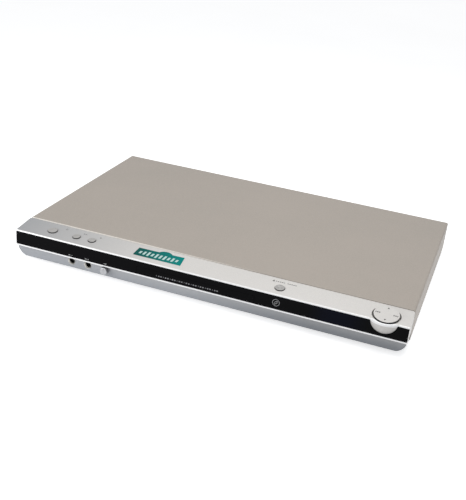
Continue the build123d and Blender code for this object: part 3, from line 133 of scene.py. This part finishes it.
def start(name, **surface):
    """A new material with its shader's plain values set, as (material, tree, shader, place in metres)."""
    material = bpy.data.materials.new(name)
    material.use_nodes = True
    tree = material.node_tree
    shader = tree.nodes["Principled BSDF"]
    for key, value in surface.items():
        shader.inputs[key.replace("_", " ")].default_value = value
    place = add(tree, "ShaderNodeTexCoord").outputs["Object"]
    return material, tree, shader, place


def drift(tree, place, patch, low, high, detail=3.0):
    """A value that wanders between low and high over patches of this size in millimetres."""
    noise = add(tree, "ShaderNodeTexNoise", {"Vector": place, "Scale": 1 / (patch * MM), "Detail": detail})
    spread = add(tree, "ShaderNodeMapRange", {
        "Value": noise.outputs["Fac"], "From Min": 0.3, "From Max": 0.7, "To Min": low, "To Max": high,
    })
    return spread.outputs["Result"]


def rise_and_fall(tree, value, low, high, soft):
    """One between low and high and nothing outside them, with soft edges of this width."""
    sides = [
        add(tree, "ShaderNodeMapRange", {"Value": value, "From Min": edge, "From Max": edge + run},
            interpolation_type="SMOOTHSTEP").outputs["Result"]
        for edge, run in ((low - soft, soft), (high + soft, -soft))
    ]
    return add(tree, "ShaderNodeMath", {0: sides[0], 1: sides[1]}, operation="MULTIPLY").outputs["Value"]


def paint(tree, shader, share, low, high):
    """Colours the surface from one hex code to another with the share, and gives the colour back."""
    mix = add(tree, "ShaderNodeMix", {SHARE: share, LOW: linear(low), HIGH: linear(high)}, data_type="RGBA")
    tree.links.new(mix.outputs[MIXED], shader.inputs["Base Color"])
    return mix.outputs[MIXED]


def wear(tree, shader, place, patch, smooth, rough):
    """Lets the gloss wander between two roughnesses over patches of this size in millimetres."""
    tree.links.new(drift(tree, place, patch, smooth, rough), shader.inputs["Roughness"])


def grain(tree, shader, place, size, depth):
    """Raises the surface by this depth over grains of this size, both in millimetres."""
    noise = add(tree, "ShaderNodeTexNoise", {"Vector": place, "Scale": 1 / (size * MM), "Detail": 2.0})
    bump = add(tree, "ShaderNodeBump", {"Height": noise.outputs["Fac"], "Distance": depth * MM})
    tree.links.new(bump.outputs["Normal"], shader.inputs["Normal"])


def moulded_plastic(name, low, high, roughness, size=1.2, depth=0.02, specular=0.5):
    """Injection-moulded plastic: an even colour, with the spark texture of its tool in the sheen.
    The texture is 0.2 mm and is drawn at 1.2 mm to show."""
    material, tree, shader, place = start(name, IOR=1.46, Specular_IOR_Level=specular)
    paint(tree, shader, drift(tree, place, 18, 0, 1), low, high)
    wear(tree, shader, place, 6, roughness - 0.06, roughness + 0.06)
    grain(tree, shader, place, size, depth)
    return material


def worked_metal(name, low, high, roughness, stretch=(1, 1, 1), size=2.0, depth=0.006):
    """Bare or plated metal, with faint marks drawn out along the way that it was worked.
    The marks are 0.1 mm wide and are drawn at 1 or 2 mm to show."""
    material, tree, shader, place = start(name, Metallic=1.0)
    drawn = add(tree, "ShaderNodeMapping", {"Vector": place, "Scale": stretch}).outputs["Vector"]
    paint(tree, shader, drift(tree, drawn, size, 0, 1), low, high)
    wear(tree, shader, drawn, size, roughness - 0.06, roughness + 0.08)
    grain(tree, shader, drawn, size, depth)
    return material


def metallic_powder_coat():
    """Steel sheet under a warm metallic powder coat, with a pale line along its front edge that is a painted
    highlight, strongest at the left.
    The flakes are 0.05 mm and are drawn at 0.9 mm to show."""
    material, tree, shader, place = start("metallic_powder_coat_on_steel", Metallic=0.3, IOR=1.5)
    flakes = paint(tree, shader, drift(tree, place, 0.9, 0.0, 1.0, detail=1.0), "#A69D94", "#B0A89E")
    patches = drift(tree, place, 70, 0.0, 0.4)
    warm = add(tree, "ShaderNodeMix", {
        SHARE: patches, LOW: flakes, HIGH: linear("#B3A99F"),
    }, data_type="RGBA")
    # Painted highlight: a pale line along the cover's front edge, strongest towards the left end.
    axes = add(tree, "ShaderNodeSeparateXYZ", {"Vector": place}).outputs
    edge = rise_and_fall(tree, axes["Y"], cover_low[1] - 1 * MM, cover_low[1] + 0.9 * MM, 0.3 * MM)
    leftward = add(tree, "ShaderNodeMapRange", {
        "Value": axes["X"], "From Min": 60 * MM, "From Max": -60 * MM, "To Min": 0.1,
    })
    painted_highlight_share = add(tree, "ShaderNodeMath", {0: edge, 1: leftward.outputs["Result"]}, operation="MULTIPLY")
    painted_edge_highlight = add(tree, "ShaderNodeMix", {
        SHARE: painted_highlight_share.outputs[0], LOW: warm.outputs[MIXED], HIGH: linear("#F4EFE7"),
    }, data_type="RGBA")
    tree.links.new(painted_edge_highlight.outputs[MIXED], shader.inputs["Base Color"])
    wear(tree, shader, place, 1.4, 0.42, 0.52)
    grain(tree, shader, place, 0.9, 0.012)
    return material


def silver_lacquer(name, low, high, roughness):
    """ABS under satin silver lacquer: aluminium pigment in a clear binder, soft and slightly pearly.
    Where its surface turns away from facing up, the colour is painted dark as painted shade, a narrow dark
    rim in the gap around the piece.
    The pigment is 0.03 mm and is drawn at 0.8 mm to show."""
    material, tree, shader, place = start(name, Metallic=0.2, IOR=1.5)
    pigment = paint(tree, shader, drift(tree, place, 0.8, 0.0, 1.0, detail=1.0), low, high)
    # Painted shade: surfaces that turn from facing up are painted dark, as the shadow in the gap around a
    # key or the pad.
    facing = add(tree, "ShaderNodeNewGeometry").outputs["Normal"]
    upward = add(tree, "ShaderNodeSeparateXYZ", {"Vector": facing}).outputs["Z"]
    gap_shade_share = add(tree, "ShaderNodeMapRange", {"Value": upward, "From Min": 0.7, "From Max": 0.4})
    with_gap_shade = add(tree, "ShaderNodeMix", {
        SHARE: gap_shade_share.outputs["Result"], LOW: pigment, HIGH: linear("#2A2A2B"),
    }, data_type="RGBA")
    tree.links.new(with_gap_shade.outputs[MIXED], shader.inputs["Base Color"])
    wear(tree, shader, place, 5, roughness - 0.03, roughness + 0.05)
    grain(tree, shader, place, 0.8, 0.004)
    return material


def front_lacquer():
    """The front's silver lacquer over ABS. Its colour is darkened towards the left end as painted shade, and
    the skirt is darkened as painted shade, most of all towards the skirt's bottom and right. The two lips
    beside the strip carry a painted highlight, a white line along the front face of each.
    The pigment is 0.03 mm and is drawn at 0.8 mm to show."""
    material, tree, shader, place = start("satin_silver_lacquer_on_abs", Metallic=0.3, IOR=1.5)
    pigment = paint(tree, shader, drift(tree, place, 0.8, 0.0, 1.0, detail=1.0), "#D6D3CF", "#DFDCD8")
    axes = add(tree, "ShaderNodeSeparateXYZ", {"Vector": place}).outputs
    # Painted shade: the colour darkens towards the left end.
    leftward = add(tree, "ShaderNodeMapRange", {
        "Value": axes["X"], "From Min": -40 * MM, "From Max": -215 * MM,
    })
    coat = add(tree, "ShaderNodeMix", {
        SHARE: leftward.outputs["Result"], LOW: pigment, HIGH: linear("#A3A4A6"),
    }, data_type="RGBA")
    # Painted shade on the skirt: darker than the face above it, and deeper towards its bottom and its right.
    skirt_top = STRIP_FLOOR - LOWER_LIP
    below = add(tree, "ShaderNodeMapRange", {
        "Value": axes["Z"], "From Min": skirt_top - 9 * MM, "From Max": skirt_top,
        "To Min": 1.0, "To Max": 0.72,
    }).outputs["Result"]
    skirt = add(tree, "ShaderNodeMath", {0: axes["Z"], 1: skirt_top}, operation="LESS_THAN")
    skirt_shade_share = add(tree, "ShaderNodeMath", {0: skirt.outputs[0], 1: below}, operation="MULTIPLY").outputs[0]
    rightward = add(tree, "ShaderNodeMapRange", {
        "Value": axes["X"], "From Min": -20 * MM, "From Max": 120 * MM,
    })
    second_tone = add(tree, "ShaderNodeMix", {
        SHARE: rightward.outputs["Result"], LOW: linear("#ABAEB3"), HIGH: linear("#8A8D92"),
    }, data_type="RGBA")
    body = add(tree, "ShaderNodeMix", {
        SHARE: skirt_shade_share, LOW: coat.outputs[MIXED], HIGH: second_tone.outputs[MIXED],
    }, data_type="RGBA")
    # Painted highlight: a white line along the front face of each lip beside the strip.
    forward = add(tree, "ShaderNodeMath", {0: axes["Y"], 1: FRONT_Y + 0.9 * MM}, operation="LESS_THAN")
    lips = [
        rise_and_fall(tree, axes["Z"], low, high, 0.3 * MM)
        for low, high in ((skirt_top + 0.3 * MM, STRIP_FLOOR + 1 * MM),
                          (STRIP_ROOF - 1 * MM, STRIP_ROOF + UPPER_LIP - 0.1 * MM))
    ]
    both = add(tree, "ShaderNodeMath", {0: lips[0], 1: lips[1]}, operation="ADD").outputs[0]
    lip_highlight_share = add(tree, "ShaderNodeMath", {0: both, 1: forward.outputs[0]}, operation="MULTIPLY")
    colour = add(tree, "ShaderNodeMix", {
        SHARE: lip_highlight_share.outputs[0], LOW: body.outputs[MIXED], HIGH: linear("#FFFFFF"),
    }, data_type="RGBA")
    tree.links.new(colour.outputs[MIXED], shader.inputs["Base Color"])
    wear(tree, shader, place, 5, 0.33, 0.41)
    grain(tree, shader, place, 0.8, 0.004)
    return material


def smoked_acrylic():
    """Cast acrylic, dyed nearly black and polished. Over the display it lets a little blue through."""
    material, tree, shader, place = start("smoked_cast_acrylic", IOR=1.49, Specular_IOR_Level=0.05)
    across = add(tree, "ShaderNodeSeparateXYZ", {"Vector": place}).outputs["X"]
    window = rise_and_fall(tree, across, WINDOW_LEFT, WINDOW_RIGHT, 30 * MM)
    paint(tree, shader, window, "#060609", "#060B1D")
    wear(tree, shader, place, 12, 0.05, 0.10)
    grain(tree, shader, place, 25, 0.01)
    return material


def soft_rubber(name, roughness=0.75):
    """Moulded rubber: dull and nearly black, with a dry bloom in patches of 3 mm."""
    material, tree, shader, place = start(name, IOR=1.52, Specular_IOR_Level=0.3)
    paint(tree, shader, drift(tree, place, 3, 0, 1), "#191919", "#242322")
    wear(tree, shader, place, 2, roughness - 0.1, roughness + 0.1)
    grain(tree, shader, place, 0.8, 0.03)
    return material


def solder_mask():
    """Glass-epoxy board: green solder mask over copper tracks 0.3 mm wide, which show as paler lines."""
    material, tree, shader, place = start("glass_epoxy_circuit_board", IOR=1.55)
    tracks = add(tree, "ShaderNodeTexBrick", {
        "Vector": place, "Color1": linear("#1F5A33"), "Color2": linear("#235F38"),
        "Mortar": linear("#3F7F4C"), "Scale": 1.0, "Mortar Size": 0.3 * MM,
        "Brick Width": 9 * MM, "Row Height": 2.5 * MM,
    })
    tree.links.new(tracks.outputs["Color"], shader.inputs["Base Color"])
    wear(tree, shader, place, 3, 0.28, 0.42)
    grain(tree, shader, place, 1.5, 0.02)
    return material


def socket_row(name, low, high, colours):
    """Phono sockets: moulded rings of bright plastic, one colour for each, round turned nickel-plated shells
    with pale plastic cores."""
    material, tree, shader, place = start(name, IOR=1.46)
    first_x = (low[0] + high[0] - SOCKET_PITCH * len(colours)) / 2
    centre_z = high[2] - SOCKET_RING
    shell_y = cover_high[1] + SOCKET_FLANGE
    axes = add(tree, "ShaderNodeSeparateXYZ", {"Vector": place}).outputs
    step = add(tree, "ShaderNodeMath", {0: axes["X"], 1: first_x}, operation="SUBTRACT").outputs[0]
    colour = linear(colours[0])
    for i, code in enumerate(colours[1:], 1):
        past = add(tree, "ShaderNodeMath", {0: step, 1: i * SOCKET_PITCH}, operation="GREATER_THAN")
        colour = add(tree, "ShaderNodeMix", {
            SHARE: past.outputs[0], LOW: colour, HIGH: linear(code),
        }, data_type="RGBA").outputs[MIXED]
    wrapped = add(tree, "ShaderNodeMath", {0: step, 1: SOCKET_PITCH, 2: 0.0}, operation="WRAP").outputs[0]
    side = add(tree, "ShaderNodeMath", {0: wrapped, 1: SOCKET_PITCH / 2}, operation="SUBTRACT").outputs[0]
    rise = add(tree, "ShaderNodeMath", {0: axes["Z"], 1: centre_z}, operation="SUBTRACT").outputs[0]
    flat = add(tree, "ShaderNodeCombineXYZ", {"X": side, "Y": rise}).outputs["Vector"]
    radius = add(tree, "ShaderNodeVectorMath", {0: flat}, operation="LENGTH").outputs["Value"]
    outside = add(tree, "ShaderNodeMath", {0: axes["Y"], 1: shell_y}, operation="GREATER_THAN").outputs[0]
    beyond = add(tree, "ShaderNodeMath", {0: radius, 1: SOCKET_CORE}, operation="GREATER_THAN").outputs[0]
    shell = add(tree, "ShaderNodeMath", {0: outside, 1: beyond}, operation="MULTIPLY").outputs[0]
    core = add(tree, "ShaderNodeMath", {0: outside, 1: beyond}, operation="SUBTRACT", use_clamp=True)
    cored = add(tree, "ShaderNodeMix", {
        SHARE: core.outputs[0], LOW: colour, HIGH: linear("#D9D6CC"),
    }, data_type="RGBA")
    plated = add(tree, "ShaderNodeMix", {
        SHARE: shell, LOW: cored.outputs[MIXED], HIGH: linear("#D8D4CC"),
    }, data_type="RGBA")
    tree.links.new(plated.outputs[MIXED], shader.inputs["Base Color"])
    tree.links.new(shell, shader.inputs["Metallic"])
    wear(tree, shader, place, 2, 0.22, 0.36)
    grain(tree, shader, place, 0.8, 0.01)
    return material


def printed_ink(name, code, second_tone):
    """Screen-printed ink: a flat matt film whose body thins out in patches of 0.6 mm."""
    material, tree, shader, place = start(name, IOR=1.5, Specular_IOR_Level=0.3)
    paint(tree, shader, drift(tree, place, 0.6, 0.0, 0.3), code, second_tone)
    wear(tree, shader, place, 1, 0.45, 0.55)
    return material


def label_film():
    """Satin vinyl film in teal, much deeper towards its left end."""
    material, tree, shader, place = start("printed_vinyl_film", IOR=1.5, Specular_IOR_Level=0.05)
    across = add(tree, "ShaderNodeSeparateXYZ", {"Vector": place}).outputs["X"]
    fade = add(tree, "ShaderNodeMapRange", {
        "Value": across, "From Min": LABEL_LEFT, "From Max": LABEL_RIGHT,
    })
    paint(tree, shader, fade.outputs["Result"], "#0B5650", "#088C86")
    wear(tree, shader, place, 3, 0.4, 0.5)
    grain(tree, shader, place, 6, 0.006)
    return material


# The cover: a warm grey-beige sheen with a fine sparkle and a painted highlight as a pale line along its
# front edge
powder_coat = metallic_powder_coat()
# The front: pale warm silver above the strip, darkened to the left as painted shade, lips with a painted
# highlight, and a skirt in painted shade
bezel_lacquer = front_lacquer()
# The keys: a darker and glossier silver, so that their dished caps stand out from the ledge
key_lacquer = silver_lacquer("gloss_silver_lacquer_on_abs", "#A8A6A3", "#B3B1AE", roughness=0.28)
# The pad: the palest silver, matt enough to look flat
pad_lacquer = silver_lacquer("matt_silver_lacquer_on_abs", "#D2CFCB", "#DAD7D3", roughness=0.5)
# The volume knob: ABS under satin chrome plate, with bright and dark sides like any small metal knob
knob_plate = worked_metal("satin_chrome_plated_abs", "#9C9DA0", "#ABACAF", 0.3, size=1.0)
# The strip and the tray door: polished and all but black
acrylic = smoked_acrylic()
# Base, rear panel, deck, clamp bridge and motors: sheet with a bluish zinc plate, rolled along its width
zinc_sheet = worked_metal("zinc_plated_steel_sheet", "#A9ABAE", "#BDBEC0", 0.42, stretch=(0.15, 1, 1))
# Screws: turned steel under the same plate, darker in its recesses
screw_plate = worked_metal("zinc_plated_turned_steel", "#8F9092", "#A6A6A6", 0.3, size=1.0)
# Guide rods and lead screw: ground steel, bright with marks round its length
ground_steel = worked_metal("ground_steel_bar", "#C4C5C7", "#D4D4D5", 0.18, stretch=(1, 0.1, 1), size=1.0)
# Jack sleeves: turned brass under nickel, warm with a satin sheen
nickel = worked_metal("nickel_plated_brass", "#C9C8C5", "#D9D7D2", 0.34, size=1.0)
# Pickup sled: die-cast zinc, dull grey with a sandy skin
cast_alloy = worked_metal("die_cast_zinc_alloy", "#85878A", "#989A9D", 0.5, size=1.2, depth=0.03)
# Heat sink: extruded aluminium, with streaks along the fins
extrusion = worked_metal("extruded_aluminium", "#B0B1B3", "#C2C3C4", 0.36, stretch=(1, 1, 0.1), size=1.0)
# Clamping magnet: pressed and sintered ferrite, a dull charcoal
ferrite = moulded_plastic("sintered_ferrite", "#2B2B2D", "#363638", 0.55)
# Disc tray: a soft black that shows its moulded texture
tray_abs = moulded_plastic("spark_textured_abs", "#2A2A2C", "#303032", 0.5)
# Loader frame, traverse, turntable, gimbal and microphone jacks: glass-filled nylon, a flat black
black_nylon = moulded_plastic("moulded_glass_filled_nylon", "#1B1B1C", "#242425", 0.48)
# Gears, pulleys, cam slider and clamper: unpigmented acetal, milky and slightly waxy
acetal = moulded_plastic("moulded_natural_acetal", "#DCD9CF", "#E6E3DA", 0.35, depth=0.01)
# Mains inlet and S-video socket: nylon with a low gloss, black enough for their mouths to read as holes
socket_black = moulded_plastic("moulded_black_nylon", "#0C0C0D", "#131314", 0.4, specular=0.25)
# Feet: a matt grey-black
foot_rubber = soft_rubber("moulded_foot_rubber")
# Belt, dampers and the turntable's ring: the same rubber with a slight sheen where it was cut
belt_rubber = soft_rubber("cut_sheet_rubber", roughness=0.6)
# Circuit boards: deep green with paler tracks
board_green = solder_mask()
# Chips: pressed epoxy, a grainy black
chip_epoxy = moulded_plastic("moulded_chip_epoxy", "#1A1A1B", "#222223", 0.45)
# Capacitors: shrunk film, dark blue-black and glossy
sleeve_film = moulded_plastic("shrunk_vinyl_sleeve", "#15171F", "#1E2029", 0.3, depth=0.01)
# Transformer: wound tape over ferrite, an oily amber
winding_tape = moulded_plastic("wound_polyester_tape", "#8A6A2A", "#9A7A35", 0.4, size=3)
# Flat cables: laminated polyester, a clean white
ribbon_film = moulded_plastic("laminated_polyester_ribbon", "#D9D8D2", "#E4E3DE", 0.35, depth=0.01)
# Display: drawn glass over a dark grid, blue-black and mirror-smooth
tube_glass = moulded_plastic("drawn_display_glass", "#10151B", "#18202A", 0.12, depth=0.004)
# Pickup lens: pressed acrylic under a coating that shows as violet-blue
lens_coating = moulded_plastic("coated_pressed_acrylic", "#3A4670", "#4B5A8C", 0.12, depth=0.002)
# The ledge's label: satin teal, deeper to the left
teal_film = label_film()
# Marks on the strip: a crisp off-white, and a fainter one on the tray door
white_ink = printed_ink("white_screen_ink", "#D6D6D6", "#8C8C8C")
faint_ink = printed_ink("faint_screen_ink", "#A2A2A5", "#6E6E70")
# Marks on the ledge and the pad: a thin dark grey
grey_ink = printed_ink("grey_screen_ink", "#3C3B3A", "#5A5958")
# Bars on the label: a pale mint
mint_ink = printed_ink("mint_screen_ink", "#C9E3DE", "#9CCBC6")

finish_of_slot = {
    "zinc_steel": zinc_sheet, "cover_paint": powder_coat, "screw_steel": screw_plate,
    "foot_rubber": foot_rubber, "silver_lacquer": bezel_lacquer, "smoked_acrylic": acrylic,
    "label_film": teal_film, "key_silver": key_lacquer, "pad_plastic": pad_lacquer,
    "knob_plastic": knob_plate, "black_nylon": black_nylon, "circuit_board": board_green,
    "plated_brass": nickel, "tube_glass": tube_glass, "tray_plastic": tray_abs, "white_acetal": acetal,
    "belt_rubber": belt_rubber, "damper_rubber": belt_rubber, "polished_steel": ground_steel,
    "cast_alloy": cast_alloy, "lens_acrylic": lens_coating, "magnet_iron": ferrite,
    "chip_epoxy": chip_epoxy, "transformer_iron": winding_tape, "sleeve_film": sleeve_film,
    "extruded_alloy": extrusion, "inlet_plastic": socket_black, "jack_plastic": socket_black,
    "ribbon_film": ribbon_film,
}
finish_of_node = {
    "audio_jacks": socket_row("audio_socket_row", audio_low, audio_high, ["#E2E0D8", "#B3222A"]),
    "component_jacks": socket_row(
        "component_socket_row", component_low, component_high, ["#1E7A3C", "#2348A0", "#B3222A"],
    ),
    "video_jacks": socket_row("video_socket_row", video_low, video_high, ["#D8B21E", "#1B1B1C"]),
}
for piece in frame["record"]["subparts"]:
    name = piece["node"]
    finish = finish_of_node.get(name) or finish_of_slot[piece["material_slot"]]
    nodes[name].data.materials.clear()
    nodes[name].data.materials.append(finish)


# Printed marks: thin films on the ledge, the strip, the label and the pad

def film(name, outlines, origin, normal, finish, body):
    """Flat outlines in millimetres, laid on the plane at origin, with their first direction along X."""
    up = Vector(normal).normalized()
    right = Vector((1, 0, 0))
    away = up.cross(right)
    bm = bmesh.new()
    for outline in outlines:
        corners = [
            bm.verts.new(Vector(origin) + (right * x + away * y) * MM + up * PRINT_LIFT) for x, y in outline
        ]
        bm.faces.new(corners)
    bmesh.ops.recalc_face_normals(bm, faces=bm.faces)
    bmesh.ops.solidify(bm, geom=bm.faces[:], thickness=-PRINT_LIFT / 2)
    mesh = bpy.data.meshes.new(name)
    bm.to_mesh(mesh)
    bm.free()
    mesh.materials.append(finish)
    made = bpy.data.objects.new(name, mesh)
    bpy.context.scene.collection.objects.link(made)
    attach(made, body)


def bar(x, y, width, height, slant=0.0):
    """A rectangle's outline about its middle, pushed over to the right at its top by slant."""
    return [
        (x - width / 2, y - height / 2), (x + width / 2, y - height / 2),
        (x + width / 2 + slant, y + height / 2), (x - width / 2 + slant, y + height / 2),
    ]


def arrow(x, y, size, turn):
    """A triangle's outline that points to the right, turned by this many degrees."""
    spin = radians(turn)
    points = [(size / 2, 0), (-size / 2, size / 2), (-size / 2, -size / 2)]
    return [(x + a * cos(spin) - b * sin(spin), y + a * sin(spin) + b * cos(spin)) for a, b in points]


def arc_band(x, y, inner, outer, start_turn, end_turn, steps=20):
    """The outline of a band of a ring between two angles in degrees."""
    turns = [radians(start_turn + (end_turn - start_turn) * i / steps) for i in range(steps + 1)]
    return [(x + outer * cos(t), y + outer * sin(t)) for t in turns] + [
        (x + inner * cos(t), y + inner * sin(t)) for t in reversed(turns)
    ]


ledge_normal = Vector((0, -sin(LEDGE_SLOPE), cos(LEDGE_SLOPE)))
pad_normal = Vector((0, -sin(PAD_TILT), cos(PAD_TILT)))
strip_face = Vector((0, -1, 0))


def on_ledge(x, y, rise=0.0):
    """The ledge's surface at x and y behind the front face, in millimetres, lifted by rise in metres."""
    foot = Vector((x * MM, FRONT_Y + y * MM, STRIP_ROOF + UPPER_LIP + y * MM * LEDGE_RISE / LEDGE_DEPTH))
    return foot + ledge_normal * rise


def on_strip(x, z):
    """The strip's front face at x, and z above its floor, in millimetres."""
    return Vector((x * MM, FRONT_Y, STRIP_FLOOR + z * MM))


film("power_mark", [arc_band(0, 0, 0.75, 1.05, 125, 415), bar(0, 0.75, 0.3, 1.1)],
     on_ledge(*POWER_MARK), ledge_normal, grey_ink, "player")
film("play_mark", [arrow(-0.9, 0, 1.6, 0), bar(0.5, 0, 0.4, 1.5), bar(1.3, 0, 0.4, 1.5)],
     on_ledge(*PLAY_MARK), ledge_normal, grey_ink, "player")
film("stop_mark", [bar(0, 0, 1.4, 1.4)], on_ledge(*STOP_MARK), ledge_normal, grey_ink, "player")
film("eject_mark", [arrow(-10.4, 0.3, 2.1, 90), bar(-10.4, -1.3, 2.1, 0.5)]
     + [bar(-7.6 + 2.05 * i, -0.2, 1.3, 1.0) for i in range(11) if i != 5],
     on_ledge(*EJECT_MARK), ledge_normal, grey_ink, "player")

level_heights = (4.6, 6.4, 7.8, 5.6, 8.0, 6.6, 7.6, 5.4, 7.0, 4.4)
label_bars = [
    bar(-20.7 + 4.6 * i, -0.8, 2.4, height, slant=0.7) for i, height in enumerate(level_heights)
]
film("label_bars", label_bars, on_ledge(*LABEL_BARS, LABEL_THICKNESS), ledge_normal, mint_ink, "player")

pad_marks = [
    arrow(0, 9.2, 2.1, 90), arrow(0, -9.2, 2.1, -90),
    arrow(-7.4, 0, 1.9, 180), arrow(-9.3, 0, 1.9, 180), bar(-10.7, 0, 0.6, 1.9),
    arrow(7.4, 0, 1.9, 0), arrow(9.3, 0, 1.9, 0), bar(10.7, 0, 0.6, 1.9),
]
film("pad_marks", pad_marks, on_ledge(*PAD_MIDDLE, PAD_RISE), pad_normal, grey_ink, "pad")

microphone = [arc_band(-1.6, 0, 0.3, 0.7, 0, 360), bar(-0.3, 0, 1.2, 0.4)]
film("microphone_mark_1", microphone + [bar(1.6, 0, 0.35, 1.4)],
     on_strip(*FIRST_MICROPHONE_MARK), strip_face, white_ink, "player")
film("microphone_mark_2", microphone + [bar(1.4, 0, 0.35, 1.4), bar(2.2, 0, 0.35, 1.4)],
     on_strip(*SECOND_MICROPHONE_MARK), strip_face, white_ink, "player")
film("volume_mark", [[(-2.0, -0.5), (2.0, -0.5), (2.0, 0.7)]],
     on_strip(*VOLUME_MARK), strip_face, white_ink, "player")
film("disc_mark", [arc_band(0, 0, 3.4, 3.8, 0, 360, 40), arc_band(0, 0, 1.0, 1.4, 0, 360, 24),
                   arc_band(0, 0, 2.1, 2.5, 20, 80), arc_band(0, 0, 2.1, 2.5, 200, 260)],
     on_strip(*DISC_MARK), strip_face, white_ink, "player")
film("door_marks", [bar(-34 + 2.6 * i, 0, 1.6 if i % 3 else 0.5, 1.3) for i in range(27)],
     on_strip(*DOOR_MARKS), strip_face, faint_ink, "tray")


# Light, floor and camera

def in_view(tree):
    """One for what the camera sees straight, in a gloss or through glass, and nothing for what lights."""
    rays = add(tree, "ShaderNodeLightPath").outputs
    mirrored = add(tree, "ShaderNodeMath", {0: rays["Is Glossy Ray"], 1: rays["Is Transmission Ray"]},
                   operation="MAXIMUM")
    seen = add(tree, "ShaderNodeMath", {0: rays["Is Camera Ray"], 1: mirrored.outputs[0]},
               operation="MAXIMUM")
    return seen.outputs[0]


world = bpy.data.worlds.new("studio")
bpy.context.scene.world = world
world.use_nodes = True
sky = world.node_tree
sky.nodes.clear()
soft = add(sky, "ShaderNodeBackground", {"Color": linear("#F3F5F8"), "Strength": SKY_LEVEL})
backdrop = add(sky, "ShaderNodeBackground", {"Color": linear("#FFFFFF"), "Strength": BACKDROP_LEVEL})
around = add(sky, "ShaderNodeMixShader", {0: in_view(sky), 1: soft.outputs[0], 2: backdrop.outputs[0]})
add(sky, "ShaderNodeOutputWorld", {"Surface": around.outputs[0]})


def softbox(name, place, target, width, height, power):
    """A rectangular studio lamp that faces its target. Places and sizes are in metres, power in watts."""
    lamp = bpy.data.lights.new(name, "AREA")
    lamp.shape = "RECTANGLE"
    lamp.size, lamp.size_y = width, height
    lamp.energy = power
    made = bpy.data.objects.new(name, lamp)
    made.location = place
    made.rotation_mode = "QUATERNION"
    made.rotation_quaternion = (Vector(target) - Vector(place)).to_track_quat("-Z", "Y")
    bpy.context.scene.collection.objects.link(made)


softbox("overhead_softbox", place=(0.12, -0.02, 0.75), target=(0.05, -0.1, 0),
        width=0.6, height=0.4, power=2.5)
softbox("front_softbox", place=(-0.55, -0.5, 0.2), target=(-0.12, -0.12, 0.02),
        width=0.5, height=0.25, power=1.8)

floor_mesh = bpy.data.meshes.new("studio_floor")
floor_mesh.from_pydata([(-4, -4, 0), (4, -4, 0), (4, 4, 0), (-4, 4, 0)], [], [(0, 1, 2, 3)])
floor = bpy.data.objects.new("studio_floor", floor_mesh)
bpy.context.scene.collection.objects.link(floor)

# The floor is white paper. What the camera sees of it glows a little, so that it stays white to the edge of
# the picture and keeps a faint shadow, while it lights the player from below as a plain grey sheet would.
paper, paper_tree, paper_shader, paper_place = start(
    "white_paper_floor", Roughness=0.9, Specular_IOR_Level=0.0,
)
paint(paper_tree, paper_shader, drift(paper_tree, paper_place, 300, 0, 1), "#FBFBFB", "#FFFFFF")
glow = add(paper_tree, "ShaderNodeEmission", {"Color": linear("#FFFFFF"), "Strength": PAPER_GLOW})
lit = add(paper_tree, "ShaderNodeAddShader", {0: paper_shader.outputs[0], 1: glow.outputs[0]})
grey = add(paper_tree, "ShaderNodeBsdfDiffuse", {"Color": linear("#B4B5B8")})
sheet = add(paper_tree, "ShaderNodeMixShader", {
    0: in_view(paper_tree), 1: grey.outputs[0], 2: lit.outputs[0],
})
paper_tree.links.new(sheet.outputs[0], paper_tree.nodes["Material Output"].inputs["Surface"])
floor_mesh.materials.append(paper)

# The camera stands in front and to the right, and leans a little, as the photograph was taken.
camera_data = bpy.data.cameras.new("camera")
camera_data.sensor_width = 36.0
camera_data.lens = camera_data.sensor_width * FOCAL_PIXELS / max(PHOTO_WIDTH, PHOTO_HEIGHT)
camera_data.clip_start = 0.05
camera_data.clip_end = 50
camera = bpy.data.objects.new("camera", camera_data)
bpy.context.scene.collection.objects.link(camera)
bpy.context.scene.camera = camera
camera.location = CAMERA_PLACE
camera.rotation_mode = "QUATERNION"
aimed = Vector(CAMERA_AIM).to_track_quat("-Z", "Y")
camera.rotation_quaternion = aimed @ Quaternion((0, 0, 1), CAMERA_LEAN)

bpy.context.scene.view_settings.view_transform = "Standard"
